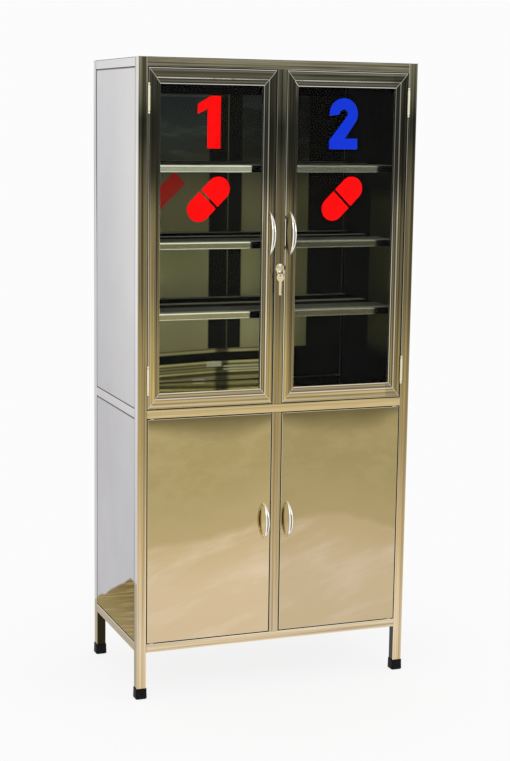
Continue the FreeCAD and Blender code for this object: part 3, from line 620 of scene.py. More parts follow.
def mottled(name, shade, other, scale, detail, edges=(0.3, 0.7), grain=0.5, rough=None, gloss=0.5):
    """Plain stuff with soft mottling from one colour to another, and between two roughnesses if they are
    given. Returns the material, its pen and its shader."""
    material, pen, shader = start_material(name)
    mottle = pen.noise(scale, detail, grain)
    blend = pen.mix(pen.band(mottle, *edges), shade, other)
    pen.fill(shader, {"Base Color": blend, "Specular IOR Level": gloss})
    if rough:
        pen.fill(shader, {"Roughness": mottle * (rough[1] - rough[0]) + rough[0]})
    return material, pen, shader


def closed_rows(rows):
    """Points and faces of a surface from rows of points: each row is a closed ring and joins to the next. The
    first and last rows are one point repeated."""
    count, around = rows.shape[:2]
    index = np.arange(count * around).reshape(count, around)
    ahead = np.roll(index, -1, axis=1)
    faces = np.stack((index[:-1], ahead[:-1], ahead[1:], index[1:]), axis=-1).reshape(-1, 4)
    return rows.reshape(-1, 3), [faces]


DOUBLE_REACH, SLIVER_REACH, SHARP = 1e-7, 1e-8, math.radians(35.0)


def place_mesh(name, surfaces, material, body):
    """Puts surfaces, each its points and its blocks of faces, on a body as one piece with its finish. Doubled
    points are merged, so that a repeated point becomes a pole, and faces are turned outwards."""
    points, faces = np.empty((0, 3)), []
    for more, blocks in surfaces:
        for block in blocks:
            faces += (block + len(points)).tolist()
        points = np.concatenate((points, more))
    mesh = bpy.data.meshes.new(name)
    mesh.from_pydata(points.tolist(), [], faces)
    work = bmesh.new()
    work.from_mesh(mesh)
    bmesh.ops.remove_doubles(work, verts=work.verts, dist=DOUBLE_REACH)
    bmesh.ops.dissolve_degenerate(work, edges=work.edges, dist=SLIVER_REACH)
    bmesh.ops.recalc_face_normals(work, faces=work.faces)
    work.to_mesh(mesh)
    work.free()
    mesh.polygons.foreach_set("use_smooth", np.ones(len(mesh.polygons), dtype=bool))
    mesh.set_sharp_from_angle(angle=SHARP)
    mesh.materials.append(material)
    piece = bpy.data.objects.new(name, mesh)
    bpy.context.scene.collection.objects.link(piece)
    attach(piece, body)
    return piece


class CABINET_OT_carcass(bpy.types.Operator):
    """Finish the posts, rails and top"""
    bl_idname = "cabinet.carcass"
    bl_label = "Carcass"

    def execute(self, context):
        posts = both_hands("post_front", "post_back")
        polished("post_steel", posts + ["centre_post_lower", "centre_post_upper"], upright_paint)
        rails = ["front_rail_bottom", "front_rail_middle", "front_rail_top", "back_rails"]
        polished("rail_steel", rails, level_paint, ALONG_X)
        polished("side_rail_steel", both_hands("side_rails"), stretch=ALONG_Y)
        polished("top_steel", ["top_panel"], stretch=ALONG_X)
        return {"FINISHED"}


SEAM_REACH, SEAM_DARK = 0.005, 0.9
LOWER_PATCH = ("lower", 1.0, None, (0.745, 0.730))
# Painted light in the olive patch inside, and the painted reflection of the floor outside with its streaks.
LINER_FRONT, LINER_RISE = (0.035, 0.020), (0.85, 1.26, 0.03)
POOL_FADE, POOL_STREAKS = (0.14, 0.30), (0.50, 0.64, 0.0, 0.45)
POOL_DRAWN, POOL_SLANT, POOL_FINE = 2.5, 72.0, 230.0


def side_paint(pen, tone):
    """Outer skin pale, with dark seams and a wavy brown painted reflection of the floor at its foot with
    slanted streaks; inner skin dark with painted shade in the upper compartment, with an olive patch of
    painted light near the front, and pale in the lower one."""
    carcass, inside = settings().carcass, settings().inside
    _, y, z = pen.place
    pool = pen.mix(pen.band(z, *POOL_FADE), carcass.side_pool, carcass.side_pool_top)
    slanted = pen.combined(0.0, y * POOL_DRAWN, y * POOL_SLANT + z * POOL_FINE)
    streaks = pen.band(pen.noise(1.0, detail=2.0, vector=slanted), *POOL_STREAKS)
    pool = pen.mix(streaks, pool, carcass.pool_streak)
    tone = pen.mix(side_pool_mask(pen), tone, pool)
    boxes = [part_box("side_panel_%s_right" % level) for level in ("lower", "upper")]
    within = pen.math("MAXIMUM", *[inset(z, low[2], high[2]) for low, high in boxes])
    edge = pen.math("MINIMUM", inset(y, boxes[0][0][1], boxes[0][1][1]), within)
    tone = pen.mix(pen.band(edge, SEAM_REACH, SEAM_REACH / 2) * SEAM_DARK, tone, carcass.seam)
    patch = pen.band(y, *LINER_FRONT) * pen.strip(z, *LINER_RISE)
    lining = pen.patched(pen.mix(patch, inside.wall_dark, inside.liner), inside, LOWER_PATCH)
    return pen.mix(pen.band(-pen.outward, *FLAT_ON), tone, lining)


class CABINET_OT_sides(bpy.types.Operator):
    """Finish the side panels"""
    bl_idname = "cabinet.sides"
    bl_label = "Side panels"

    def execute(self, context):
        polished("side_steel", both_hands("side_panel_lower", "side_panel_upper"), side_paint, strength=0.05,
                 smooth=0.30, rough=0.40, dull=side_pool_mask)
        return {"FINISHED"}


# Painted reflections and painted shade on the back wall: darker at the right head, dark bands of the stiles
# and posts with a light line, and deepest shade at the right foot.
WALL_PATCHES = (("wall_dark", 0.7, (0.02, 0.05), (1.30, 1.36)), ("wall_dark", 1.0, (-0.052, 0.042, 0.003)),
                ("wall_dark", 1.0, (0.238, 0.360, 0.003)), ("wall", 0.35, (0.0005, 0.0035, 0.001)),
                ("deepest_shade", 1.0, (0.10, 0.13), (0.834, 0.828)))
# Painted glints, a painted light line below the top and painted shade above it.
WALL_LIGHTS = (("glint", 0.9, (-0.055, -0.012, 0.004), (0.782, 0.797, 0.001)),
               ("glint", 0.9, (-0.006, 0.100, 0.004), (0.7805, 0.7845, 0.001)),
               ("glint", 0.9, (-0.006, 0.100, 0.004), (0.7725, 0.7760, 0.001)),
               ("glint", 0.9, (-0.095, -0.060, 0.004), (0.745, 0.750, 0.001)),
               ("wisp", 0.5, (0.0, -0.05), (1.511, 1.517, 0.001)), ("deepest_shade", 1.0, None, (1.518, 1.521)))
# Painted light in wisps, the painted reflection of the red mark and painted reflections of the deck at the
# foot of the wall.
WISP_EDGES, WISP_RISE = (0.50, 0.66, 0.0, 0.6), (1.33, 1.37)
GHOST_PLACE, GHOST_HALF, GHOST_SOFT, GHOST_AMOUNT = (-0.172, 1.262), (0.052, 0.022), 0.002, 0.85
FOOT_STRIPES = ((0.0, 0.55), (0.10, 0.65), (0.14, 0.15), (0.22, 0.15), (0.24, 1.0), (0.27, 1.0), (0.30, 0.28),
                (0.36, 0.60), (0.40, 0.16), (0.45, 0.65), (0.48, 0.12), (0.54, 1.0), (0.57, 1.0), (0.60, 0.0),
                (0.84, 0.0), (0.88, 0.7), (0.92, 0.7), (0.95, 0.25), (1.0, 0.25))
FOOT_LOW, FOOT_HIGH, FOOT_LEAN, FOOT_CORNER = 0.745, 0.835, 0.035, -0.03
FOOT_COLUMN, FOOT_DARK, FOOT_TOP, FOOT_RIGHT = (-0.030, 0.008, 0.008), 0.8, (1.0, 0.97), (0.13, 0.10)


def wall_paint(pen, tone):
    """Inside of the back wall, in painted reflections and painted light and shade: olive by height with soft
    wisps of painted light, upright dark bands that are painted reflections of the stiles and posts, the red
    painted reflection of the left door's mark and, above the deck, painted reflections of the deck in stripes
    of light and dark with painted glints and a dark column through them. Below the top is a painted light
    line under a strip of painted shade. In the lower compartment the wall is pale."""
    inside = settings().inside
    x, _, z = pen.place
    wall = pen.ramp(pen.waver(0.05, scale=(7.0, 1.0, 3.0), detail=3.0) + z / CABINET_HEIGHT, heights(
        (0.80, inside.wall_low), (0.97, inside.wall_low), (1.08, inside.wall), (1.26, inside.wall_mid),
        (1.36, inside.wall_high), (1.53, inside.wall_top)))
    # Painted light in soft wisps.
    wisp = pen.band(pen.noise(scale=(5.0, 1.0, 22.0), detail=3.0, roughness=0.55), *WISP_EDGES)
    wall = pen.mix(wisp * pen.band(z, *WISP_RISE), wall, inside.wisp)
    # Painted reflections and painted shade in patches.
    wall = pen.patched(wall, inside, *WALL_PATCHES)
    # Painted reflection of the red mark.
    right, up = x - GHOST_PLACE[0], z - GHOST_PLACE[1]
    along, beside = (right + up) * math.sqrt(0.5), (right - up) * math.sqrt(0.5)
    ghost = pen.strip(along, -GHOST_HALF[0], GHOST_HALF[0], GHOST_SOFT)
    ghost = ghost * pen.strip(beside, -GHOST_HALF[1], GHOST_HALF[1], GHOST_SOFT)
    wall = pen.mix(ghost * GHOST_AMOUNT, wall, inside.ghost)
    # Painted reflections of the deck in stripes at the foot of the wall.
    left_of_corner = pen.math("MINIMUM", x - FOOT_CORNER, 0.0)
    foot_share = (z - left_of_corner * FOOT_LEAN - FOOT_LOW) / (FOOT_HIGH - FOOT_LOW)
    light = pen.level(foot_share, FOOT_STRIPES) * (1.0 - pen.strip(x, *FOOT_COLUMN) * FOOT_DARK)
    near_deck = pen.band(foot_share, *FOOT_TOP) * pen.band(x, *FOOT_RIGHT)
    wall = pen.mix(near_deck, wall, pen.mix(light, inside.lip_end, inside.deck))
    # Painted glints, painted light line and painted shade below the top.
    return pen.mix(facing_front(pen), tone, pen.patched(wall, inside, *WALL_LIGHTS, LOWER_PATCH))


SHELVES = ["lower_shelf", "middle_shelf", "upper_shelf"]
# Painted reflections on the shelf tops; painted highlights, painted light and painted shade on the lips.
SHELF_STRIPES = ((0.0, 0.55), (0.07, 0.55), (0.10, 0.22), (0.32, 0.26), (0.36, 0.02), (0.50, 0.02),
                 (0.54, 0.95), (0.60, 0.95), (0.64, 0.0), (0.88, 0.0), (0.92, 0.9), (1.0, 0.9))
LIP_LINES = ((1, -0.0036, 0.001, 0.9), (0, -0.001, 0.0024, 0.65))
LIP_SOFT = 0.0006
LIP_PATCHES = (("wall_dark", 0.70, (0.0, 0.05)), ("lip_end", 1.0, (-0.061, -0.028, 0.002)),
               ("lip_end", 1.0, (0.280, 0.288)))


def shelf_paint(pen, tone):
    """Shelves: tops with level light and dark stripes of painted reflection, and olive lips in painted light
    with painted highlights on their upper and lower edges, and painted shade at their ends where they pass
    behind the stiles."""
    inside = settings().inside
    _, y, z = pen.place
    lip = pen.ramp(z / CABINET_HEIGHT, heights(
        (0.95, inside.lip_low), (1.06, inside.lip_low), (1.07, inside.lip_mid), (1.24, inside.lip_mid),
        (1.25, inside.lip), (1.35, inside.lip)))
    for name in SHELVES:
        for corner, low, high, amount in LIP_LINES:
            edge = float(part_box(name)[corner][2])
            lip = pen.patched(lip, inside, ("glint", amount, None, (edge + low, edge + high, LIP_SOFT)))
    lip = pen.patched(lip, inside, *LIP_PATCHES)
    low, high = (float(corner[1]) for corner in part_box(SHELVES[0]))
    back_share = (pen.waver(0.03, scale=(4.0, 0.0, 1.0)) + y - low) / (high - low)
    top = pen.mix(pen.level(back_share, SHELF_STRIPES), inside.lip_end, inside.shelf)
    return pen.mix(facing_front(pen), pen.mix(facing_up(pen), tone, top), lip)


DECK_WANDER, DECK_WARM, DECK_LIGHT = 0.10, (0.36, 0.50), (0.56, 0.66)


def deck_paint(pen, tone):
    """Decks: the upper one warm with level stripes of painted reflection, light and dark, that wander; the
    lower one pale.
    """
    inside = settings().inside
    _, y, z = pen.place
    wander = pen.noise(scale=(5.0, 5.0, 1.0), detail=2.0) * DECK_WANDER + y
    stripe = pen.noise(scale=(0.0, 18.0, 3.0), roughness=0.7, vector=pen.combined(0.0, wander, z))
    floor = pen.mix(pen.band(stripe, *DECK_WARM), inside.lip_end, inside.deck)
    floor = pen.mix(pen.band(stripe, *DECK_LIGHT), floor, inside.lip)
    return pen.mix(facing_up(pen), tone, pen.patched(floor, inside, LOWER_PATCH))


class CABINET_OT_inside(bpy.types.Operator):
    """Finish the back, the shelves, their rests and the decks"""
    bl_idname = "cabinet.inside"
    bl_label = "Back and shelves"

    def execute(self, context):
        polished("wall_steel", ["back_panel_lower", "back_panel_upper"], wall_paint, smooth=0.40, rough=0.50)
        polished("shelf_steel", SHELVES + ["shelf_rests"], shelf_paint, ALONG_X, smooth=0.08, rough=0.16,
                 dull=facing_up)
        polished("deck_steel", ["middle_deck", "bottom_deck"], deck_paint, ALONG_X, smooth=0.05, rough=0.12)
        return {"FINISHED"}


# Painted light lifts the stiles; stripes are painted highlights, shades are painted reflections, and the head
# and the far stile get painted shade.
STILE_LIFT, STILE_FACE, BAR_FACE, BAR_EDGE = (1.46, 1.44, 1.36), 0.031, 0.038, (-0.01, 0.01)
FRAME_STRIPES = ((0.00, 0.85), (0.035, 0.85), (0.055, 0.0), (0.14, 0.14), (0.20, 0.0), (0.585, 0.0),
                 (0.61, 0.75), (0.645, 0.75), (0.67, 0.0), (0.80, 0.08), (0.945, 0.0), (0.965, 0.75),
                 (1.0, 0.75))
FRAME_SHADES = ((0.0, 1.0), (0.055, 0.28), (0.09, 0.80), (0.20, 1.0), (0.34, 0.62), (0.44, 1.05),
                (0.55, 0.55), (0.60, 1.0), (0.67, 0.14), (0.73, 0.42), (0.84, 0.85), (0.91, 0.22),
                (0.95, 1.0), (1.0, 1.0))
STILE_STRIPE, BAR_STRIPE, FRAME_HEAD, STILE_HEAD, BAR_HEAD = 0.20, 0.90, (1.20, 1.34), 0.82, 0.40
FAR_STILE = ("wall_dark", 0.28, (0.300, 0.306))
MITRE_HALF, MITRE_AMOUNT, MITRE_END, FRAME_FRONT = 0.0005, 0.55, (1.02, 1.0), (0.0, -0.2)


def frame_paint(pen, tone):
    """Frames of the glazed doors: light and dark lines of painted highlight and painted reflection that
    follow the pressed profile, with painted shade near the top and on the far stile. The share of the way
    across the profile is the smaller of the distances from the door's side and from its end, each over its
    own face, so the lines turn the corners at the mitres, which have a painted highlight where the shares are
    equal."""
    bright, inside = settings().carcass.bright_bevel, settings().inside
    low, high = corners("upper_door_frame_right")
    x, _, z = pen.place
    from_side, from_end = inset(abs(x), low[0], high[0]), inset(z, low[2], high[2])
    side_share, end_share = from_side / STILE_FACE, from_end / BAR_FACE
    share_across = pen.math("MINIMUM", side_share, end_share)
    turn = side_share - end_share
    upright = pen.scaled(streaked(pen, tone, STREAKS_UP), STILE_LIFT)
    face = pen.mix(pen.band(turn, *BAR_EDGE), upright, level_paint(pen, tone))
    face = pen.mix(1.0, face, pen.level(share_across, FRAME_SHADES), "MULTIPLY")
    head = pen.band(z, *FRAME_HEAD) * pen.band(turn, *BAR_EDGE, STILE_HEAD, BAR_HEAD)
    face = pen.patched(pen.mix(head, face, inside.wall_dark), inside, FAR_STILE)
    strength = pen.band(turn, *BAR_EDGE, STILE_STRIPE, BAR_STRIPE)
    face = pen.mix(pen.level(share_across, FRAME_STRIPES) * strength, face, bright)
    apart = abs(from_side - from_end * (STILE_FACE / BAR_FACE))
    mitre = pen.band(apart, 2 * MITRE_HALF, MITRE_HALF) * pen.band(share_across, *MITRE_END)
    face = pen.mix(mitre * MITRE_AMOUNT, face, bright)
    return pen.mix(pen.band(pen.facing[1], *FRAME_FRONT), tone, face)


HINGE_DARK, PANE_DIM, STRIP_DIM, BUSH_DIM, VINYL_DIM = (0.35, 0.75), 0.98, 0.86, 0.85, 0.97


def hinge_paint(pen, tone):
    """Barrels of the hinges: pale painted reflection, with the painted reflection of the dark of the room
    along their right side.
    """
    return pen.mix(pen.band(pen.facing[0], *HINGE_DARK), settings().carcass.hinge, tone)


class CABINET_OT_glazed_doors(bpy.types.Operator):
    """Finish the frames, glass, strips and hinges of the upper doors"""
    bl_idname = "cabinet.glazed_doors"
    bl_label = "Glazed doors"

    def execute(self, context):
        tones = settings().doors
        polished("door_frame_steel", both_hands("upper_door_frame"), frame_paint, smooth=0.04, rough=0.10)
        hinges = both_hands("post_hinge_halves", "door_hinge_halves")
        polished("hinge_steel", hinges, hinge_paint, smooth=0.14, rough=0.24)
        polished("keeper_steel", both_hands("lock_keeper"), stretch=ALONG_X)
        pane, pen, shader = mottled("clear_pane", tones.glass, tones.glass * PANE_DIM, scale=(5.0, 5.0, 2.0),
                                    detail=4.0, edges=(0.45, 0.75))
        pen.fill(shader, {"Transmission Weight": 1.0, "Roughness": 0.0, "IOR": 1.12})
        finish_nodes(pane, *both_hands("upper_door_glass"))
        strip = mottled("glazing_strip", tones.strip, tones.strip * STRIP_DIM, scale=400.0, detail=3.0,
                        rough=(0.45, 0.65))[0]
        finish_nodes(strip, *both_hands("upper_door_beads"))
        return {"FINISHED"}


# Edge of the painted reflection of the floor across both lower doors.
POOL_EDGE = ((-0.352, 0.394), (-0.204, 0.398), (-0.105, 0.422), (-0.047, 0.436), (-0.010, 0.443),
             (0.014, 0.418), (0.069, 0.437), (0.130, 0.446), (0.190, 0.444), (0.251, 0.423), (0.312, 0.402),
             (0.350, 0.392))
POOL_LOW, POOL_SPAN, POOL_SOFT, POOL_DEPTH = 0.38, 0.08, (0.012, -0.012), (0.0, -0.14)
GOLD_FADE, GOLD_HAZE, CLOUDS = (0.0, 0.17), (0.42, 0.66, 0.0, 0.55), (0.46, 0.70, 0.0, 0.8)
CLOUD_WIDE, CLOUD_TALL = 3.0, 11.0
WEDGE_MIDDLE, WEDGE_DEPTH, WEDGE_CURVE, WEDGE_EDGES = 0.175, 0.064, 1.3, (1.25, -0.15, 0.0, 0.9)
# Painted shade: the right door a little darker.
RIGHT_DOOR = ("top_shade", 0.16, (-0.01, 0.01))


def pool_paint(pen, tone):
    """Lower doors in painted reflections of the room: a soft dark wedge of painted shade along the top,
    deepest over the middle of each door, gold that lightens downwards, and a bright pool with faint slanted
    clouds below a soft edge that curves from door to door."""
    doors = settings().doors
    x, _, z = pen.place
    span = 2 * HALF_WIDTH
    stops = [((place + HALF_WIDTH) / span, (level - POOL_LOW) / POOL_SPAN) for place, level in POOL_EDGE]
    edge = pen.level((x + HALF_WIDTH) / span, stops, "EASE") * POOL_SPAN + POOL_LOW
    above = z - edge - pen.waver(0.014, scale=7.0)
    gold = pen.mix(pen.band(above, *GOLD_FADE), doors.middle, doors.upper)
    # Soft mottling in the painted reflection.
    haze = pen.noise(scale=(9.0, 1.0, 16.0), detail=5.0, roughness=0.65)
    gold = pen.mix(pen.band(haze, *GOLD_HAZE), gold, doors.middle)
    slanted = pen.combined(x * CLOUD_WIDE, 0.0, z * CLOUD_TALL - x * CLOUD_WIDE)
    clouds = pen.noise(1.0, detail=4.0, roughness=0.6, vector=slanted)
    pool = pen.mix(pen.band(above, *POOL_DEPTH), doors.pool_edge, doors.pool)
    pool = pen.mix(pen.band(clouds, *CLOUDS), pool, doors.cloud)
    gold = pen.mix(pen.band(above, *POOL_SOFT), gold, pool)
    depth = WEDGE_DEPTH - (abs(x) - WEDGE_MIDDLE) ** 2.0 * WEDGE_CURVE
    below_top = pen.waver(0.03, scale=6.0) + DOOR_TOP - z
    gold = pen.mix(pen.band(below_top / depth, *WEDGE_EDGES), gold, doors.top_shade)
    return pen.mix(pen.band(-pen.facing[1], *FULL_ON), tone, pen.patched(gold, doors, RIGHT_DOOR))


class CABINET_OT_steel_doors(bpy.types.Operator):
    """Finish the skins, liners, pivots, bushes and catches of the lower doors"""
    bl_idname = "cabinet.steel_doors"
    bl_label = "Steel doors"

    def execute(self, context):
        tones = settings().doors
        polished("lower_door_steel", both_hands("lower_door_skin"), pool_paint, ALONG_X, strength=0.05,
                 smooth=0.02, rough=0.06)
        polished("door_liner_steel", both_hands("lower_door_liner"), stretch=ALONG_X, smooth=0.35, rough=0.45)
        polished("pivot_steel", both_hands("lower_door_pivots"))
        for name, shade, node, rough in (("white_bush", tones.nylon, "pivot_bushes", (0.3, 0.5)),
                                         ("catch_ferrite", tones.magnet, "magnet_catches", (0.45, 0.65))):
            material = mottled(name, shade, shade * BUSH_DIM, scale=600.0, detail=4.0, edges=(0.35, 0.65),
                               rough=rough)[0]
            finish_nodes(material, node)
        return {"FINISHED"}


# Painted reflections in the chrome by how far the surface turns to one side; painted light on slopes and on
# the front.
CHROME_STOPS = ((0.00, 0.30), (0.10, 0.85), (0.20, 1.0), (0.34, 0.90), (0.42, 0.15), (0.50, 0.05),
                (0.56, 0.55), (0.66, 1.0), (0.80, 0.95), (0.88, 0.25), (1.00, 0.10))
HANDLE_FACE, LOCK_FACE, FACE_EDGES, SLOPE_EDGES = 0.12, 0.85, (0.90, 0.98), (0.30, 0.60, 0.0, 0.80)


def rub(pen, shader, shade, stretch, strength, rough, hazy):
    """Makes a shader bare metal of a given colour, rubbed along one axis, with haze in its roughness."""
    marks = polish(pen, stretch, strength)
    pen.fill(shader, {"Base Color": pen.mix(1.0, shade, marks["Shade"], "MULTIPLY"), "Metallic": 1.0,
                      "Roughness": marks["Haze"] * hazy + rough})


def chrome_material(name, face_level):
    """Bright plated metal: painted reflections in light and dark bars by how far the surface turns to one
    side, as a bright room with dark gaps leaves on it, painted light on slopes, one level of painted light on
    the front and faint rubbed patches."""
    if name in bpy.data.materials:
        return bpy.data.materials[name]
    material, pen, shader = start_material(name)
    doors = settings().doors
    nx, ny, nz = pen.facing
    bars = pen.level(nx * 0.5 + 0.5, CHROME_STOPS)
    light = pen.math("MAXIMUM", bars, pen.band(abs(nz), *SLOPE_EDGES))
    light = pen.math("MAXIMUM", light, pen.band(-ny, *FACE_EDGES, 0.0, face_level))
    plated = pen.mix(light, doors.chrome_dark, doors.chrome)
    rub(pen, shader, plated, stretch=(400.0, 400.0, 60.0), strength=0.08, rough=0.02, hazy=0.12)
    return material


class CABINET_OT_fittings(bpy.types.Operator):
    """Finish the handles, lock and keys"""
    bl_idname = "cabinet.fittings"
    bl_label = "Handles and lock"

    def execute(self, context):
        finish_nodes(chrome_material("plated_fitting", HANDLE_FACE),
                     *both_hands("upper_door_handle", "lower_door_handle"))
        finish_nodes(chrome_material("plated_lock", LOCK_FACE),
                     "lock_body", "lock_nut", "lock_plug", "lock_cam", "key_ring")
        brass, pen, shader = start_material("key_brass")
        rub(pen, shader, settings().doors.brass, stretch=(500.0, 90.0, 500.0), strength=0.25, rough=0.12,
            hazy=0.3)
        finish_nodes(brass, "key", "spare_key")
        return {"FINISHED"}


SCREW_REACH = np.array((0.0, 0.12, 0.24, 0.36, 0.48, 0.60, 0.74, 0.86, 0.95, 1.0, 1.0))
SCREW_STEPS, DOME_FALL, SLOT_DEPTH, SLOT_HALF, SLOT_REACH = 32, 0.75, 0.5, 0.13, 0.6


def ring(steps):
    """Points of a circle of radius 1."""
    turn = np.linspace(0.0, 2 * math.pi, steps, endpoint=False)
    return np.stack((np.cos(turn), np.sin(turn)), axis=-1)


def screw_head(middle, radius, rise):
    """A domed screw head on a face that looks along +Y: a circle swept round Y with the height of a shallow
    dome, less a cross slot that falls off evenly from the head's two middle lines."""
    flat = SCREW_REACH[:, None, None] * ring(SCREW_STEPS)
    dome = np.sqrt(1.0 - DOME_FALL * SCREW_REACH ** 2)
    dome[-1] = 0.0
    slot = SLOT_DEPTH * np.clip(1.0 - np.abs(flat).min(axis=-1) / SLOT_HALF, 0.0, 1.0)
    level = np.clip(dome[:, None] - slot * (SCREW_REACH < SLOT_REACH)[:, None], 0.0, 1.0)
    rows = np.array(middle) + np.stack((radius * flat[..., 0], rise * level, radius * flat[..., 1]), axis=-1)
    return closed_rows(np.concatenate((rows, np.broadcast_to(np.array(middle), (1, SCREW_STEPS, 3)))))


class CABINET_OT_handle_screws(bpy.types.Operator):
    """Add the screws that hold the handles from inside the doors"""
    bl_idname = "cabinet.handle_screws"
    bl_label = "Handle screws"

    def execute(self, context):
        sizes = settings().fittings
        radius = sizes.screw_head / 2
        for level, back in (("upper", "upper_door_frame"), ("lower", "lower_door_liner")):
            for hand in HANDS:
                low, high = corners("%s_door_handle_%s" % (level, hand))
                inner = float(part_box("%s_%s" % (back, hand))[1][1])
                heads = [screw_head(((low[0] + high[0]) / 2, inner, height), radius, sizes.screw_rise)
                         for height in (low[2] + radius, high[2] - radius)]
                chrome = chrome_material("plated_fitting", HANDLE_FACE)
                place_mesh("%s_handle_screws_%s" % (level, hand), heads, chrome, "%s_%s_door" % (level, hand))
        return {"FINISHED"}


FOOT_STEPS, FOOT_SQUARENESS, FLOOR_ROWS, RIM_ROWS = 96, 7.0, 5, 9
UNDERSIDE_SHARE, RIM_SLACK, DUST = 0.6, 0.0006, Color((0.05, 0.05, 0.05))


def foot_cup(middle, outer, upper, inner, height, sole, rounding):
    """A rubber cup round a square tube: rounded squares stacked from the middle of the underside, out over a
    rounded floor edge, up the tapered wall to a rounded rim and down the socket to the middle of the sole."""
    circle = ring(FOOT_STEPS)
    square = np.sign(circle) * np.abs(circle) ** (2.0 / FOOT_SQUARENESS)
    quarter = np.linspace(0.0, math.pi / 2, FLOOR_ROWS)
    floor_half = outer - rounding * (1.0 - np.sin(quarter))
    floor_z = rounding * (1.0 - np.cos(quarter))
    rim = 0.5 * (upper - inner)
    arch = np.linspace(0.0, math.pi, RIM_ROWS)
    rim_half = (upper + inner) / 2 + rim * np.cos(arch)
    rim_z = height - rim + rim * np.sin(arch)
    half = np.concatenate(((0.0, UNDERSIDE_SHARE * outer), floor_half, rim_half, (inner, 0.0)))
    level = np.concatenate(((0.0, 0.0), floor_z, rim_z, (sole, sole)))
    rows = np.empty((len(half), FOOT_STEPS, 3))
    rows[..., :2] = middle[:2] + half[:, None, None] * square
    rows[..., 2] = level[:, None]
    return closed_rows(rows)


class CABINET_OT_feet(bpy.types.Operator):
    """Add the rubber feet"""
    bl_idname = "cabinet.feet"
    bl_label = "Rubber feet"

    def execute(self, context):
        sizes, tones = settings().fittings, settings().doors
        low, high = corners("rubber_feet")
        cups = []
        for hand in HANDS:
            for side in ("front", "back"):
                post_low, post_high = corners("post_%s_%s" % (side, hand))
                middle = (post_low + post_high) / 2
                tube = (post_high[0] - post_low[0]) / 2
                outer = high[0] - middle[0] if hand == "right" else middle[0] - low[0]
                upper = 0.5 * (outer + tube) + RIM_SLACK
                cups.append(foot_cup(middle, outer, upper, tube, high[2], post_low[2], sizes.foot_round))
        rubber, pen, shader = mottled("black_rubber_foot", tones.rubber, tones.rubber + DUST, scale=90.0,
                                      detail=5.0, grain=0.65, edges=(0.48, 0.75), rough=(0.42, 0.72),
                                      gloss=0.12)
        grain = pen.noise(900.0, detail=2.0)
        pen.fill(shader, {"Normal": pen.relief(grain, strength=0.15, depth=0.0005)})
        feet = place_mesh("rubber_foot_cups", cups, rubber, "cabinet")
        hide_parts("rubber_feet")
        return {"FINISHED"}


def vinyl_material(name, shade):
    """Cut vinyl film: an even colour with faint unevenness and hardly any gloss."""
    return mottled(name, shade, shade * VINYL_DIM, scale=60.0, detail=4.0, rough=(0.55, 0.75), gloss=0.08)[0]


ONE_OUTLINE = ((0.20, 0.0), (0.47, 0.0), (0.47, 1.0), (0.27, 1.0), (0.0, 0.84), (0.0, 0.65), (0.20, 0.75))
TWO_MIDDLE, TWO_OUTER, TWO_INNER, TWO_STEPS, TWO_TURN = (0.305, 0.695), 0.305, 0.085, 25, (188.0, -38.0)
TWO_FOOT = ((0.34, 0.21), (0.61, 0.21), (0.61, 0.0), (0.0, 0.0), (0.0, 0.17))


def two_outline():
    """A bold figure two in a square of height 1: the ring between two arcs over the top, a slanted stroke
    down to the left and a bar along the foot."""
    turn = np.radians(np.linspace(*TWO_TURN, TWO_STEPS))
    arc = np.stack((np.cos(turn), np.sin(turn)), axis=-1)
    outer, inner = TWO_MIDDLE + TWO_OUTER * arc, TWO_MIDDLE + TWO_INNER * arc[::-1]
    return np.concatenate((outer, TWO_FOOT, inner))


def numeral(outline, middle, height, thick):
    """A numeral in thin film: its outline, scaled to its height about its middle and stood up on the glass,
    as a face behind, the same in front by the film's thickness, and a wall of quads between them."""
    flat = height * (outline - (outline.min(axis=0) + outline.max(axis=0)) / 2)
    back = np.array(middle) + np.stack((flat[:, 0], np.zeros(len(flat)), flat[:, 1]), axis=-1)
    index = np.arange(len(flat))
    ahead = np.roll(index, -1)
    walls = np.stack((index, ahead, ahead + len(flat), index + len(flat)), axis=-1)
    points = np.concatenate((back, back - np.array((0.0, thick, 0.0))))
    return points, [walls, index[None], index[None, ::-1] + len(flat)]


CAPSULE_STEPS, CAPSULE_END_STEPS, CAPSULE_LEAN = 48, 6, math.radians(45.0)


def capsule_half(middle, size, gap, thick, side):
    """Half of a capsule outline in thin film: a straight end along the gap, two straight sides and a half
    round, as one ring; the film is that ring at the glass, at its face and drawn in to its middle."""
    reach, half = size[0] / 2 - size[1] / 2, size[1] / 2
    turn = np.linspace(-math.pi / 2, math.pi / 2, CAPSULE_STEPS - CAPSULE_END_STEPS)
    across = np.concatenate((np.full(CAPSULE_END_STEPS, gap / 2), reach + half * np.cos(turn)))
    along = np.concatenate((np.linspace(half, -half, CAPSULE_END_STEPS), half * np.sin(turn)))
    cosine, sine = math.cos(CAPSULE_LEAN), math.sin(CAPSULE_LEAN)
    outline = side * np.stack((across * cosine - along * sine, across * sine + along * cosine), axis=-1)
    centre = np.broadcast_to(outline.mean(axis=0), outline.shape)
    rings = np.stack((centre, outline, outline, centre))
    away = np.broadcast_to(np.array((0.0, 0.0, -thick, -thick))[:, None], rings.shape[:2])
    return closed_rows(np.array(middle) + np.stack((rings[..., 0], away, rings[..., 1]), axis=-1))


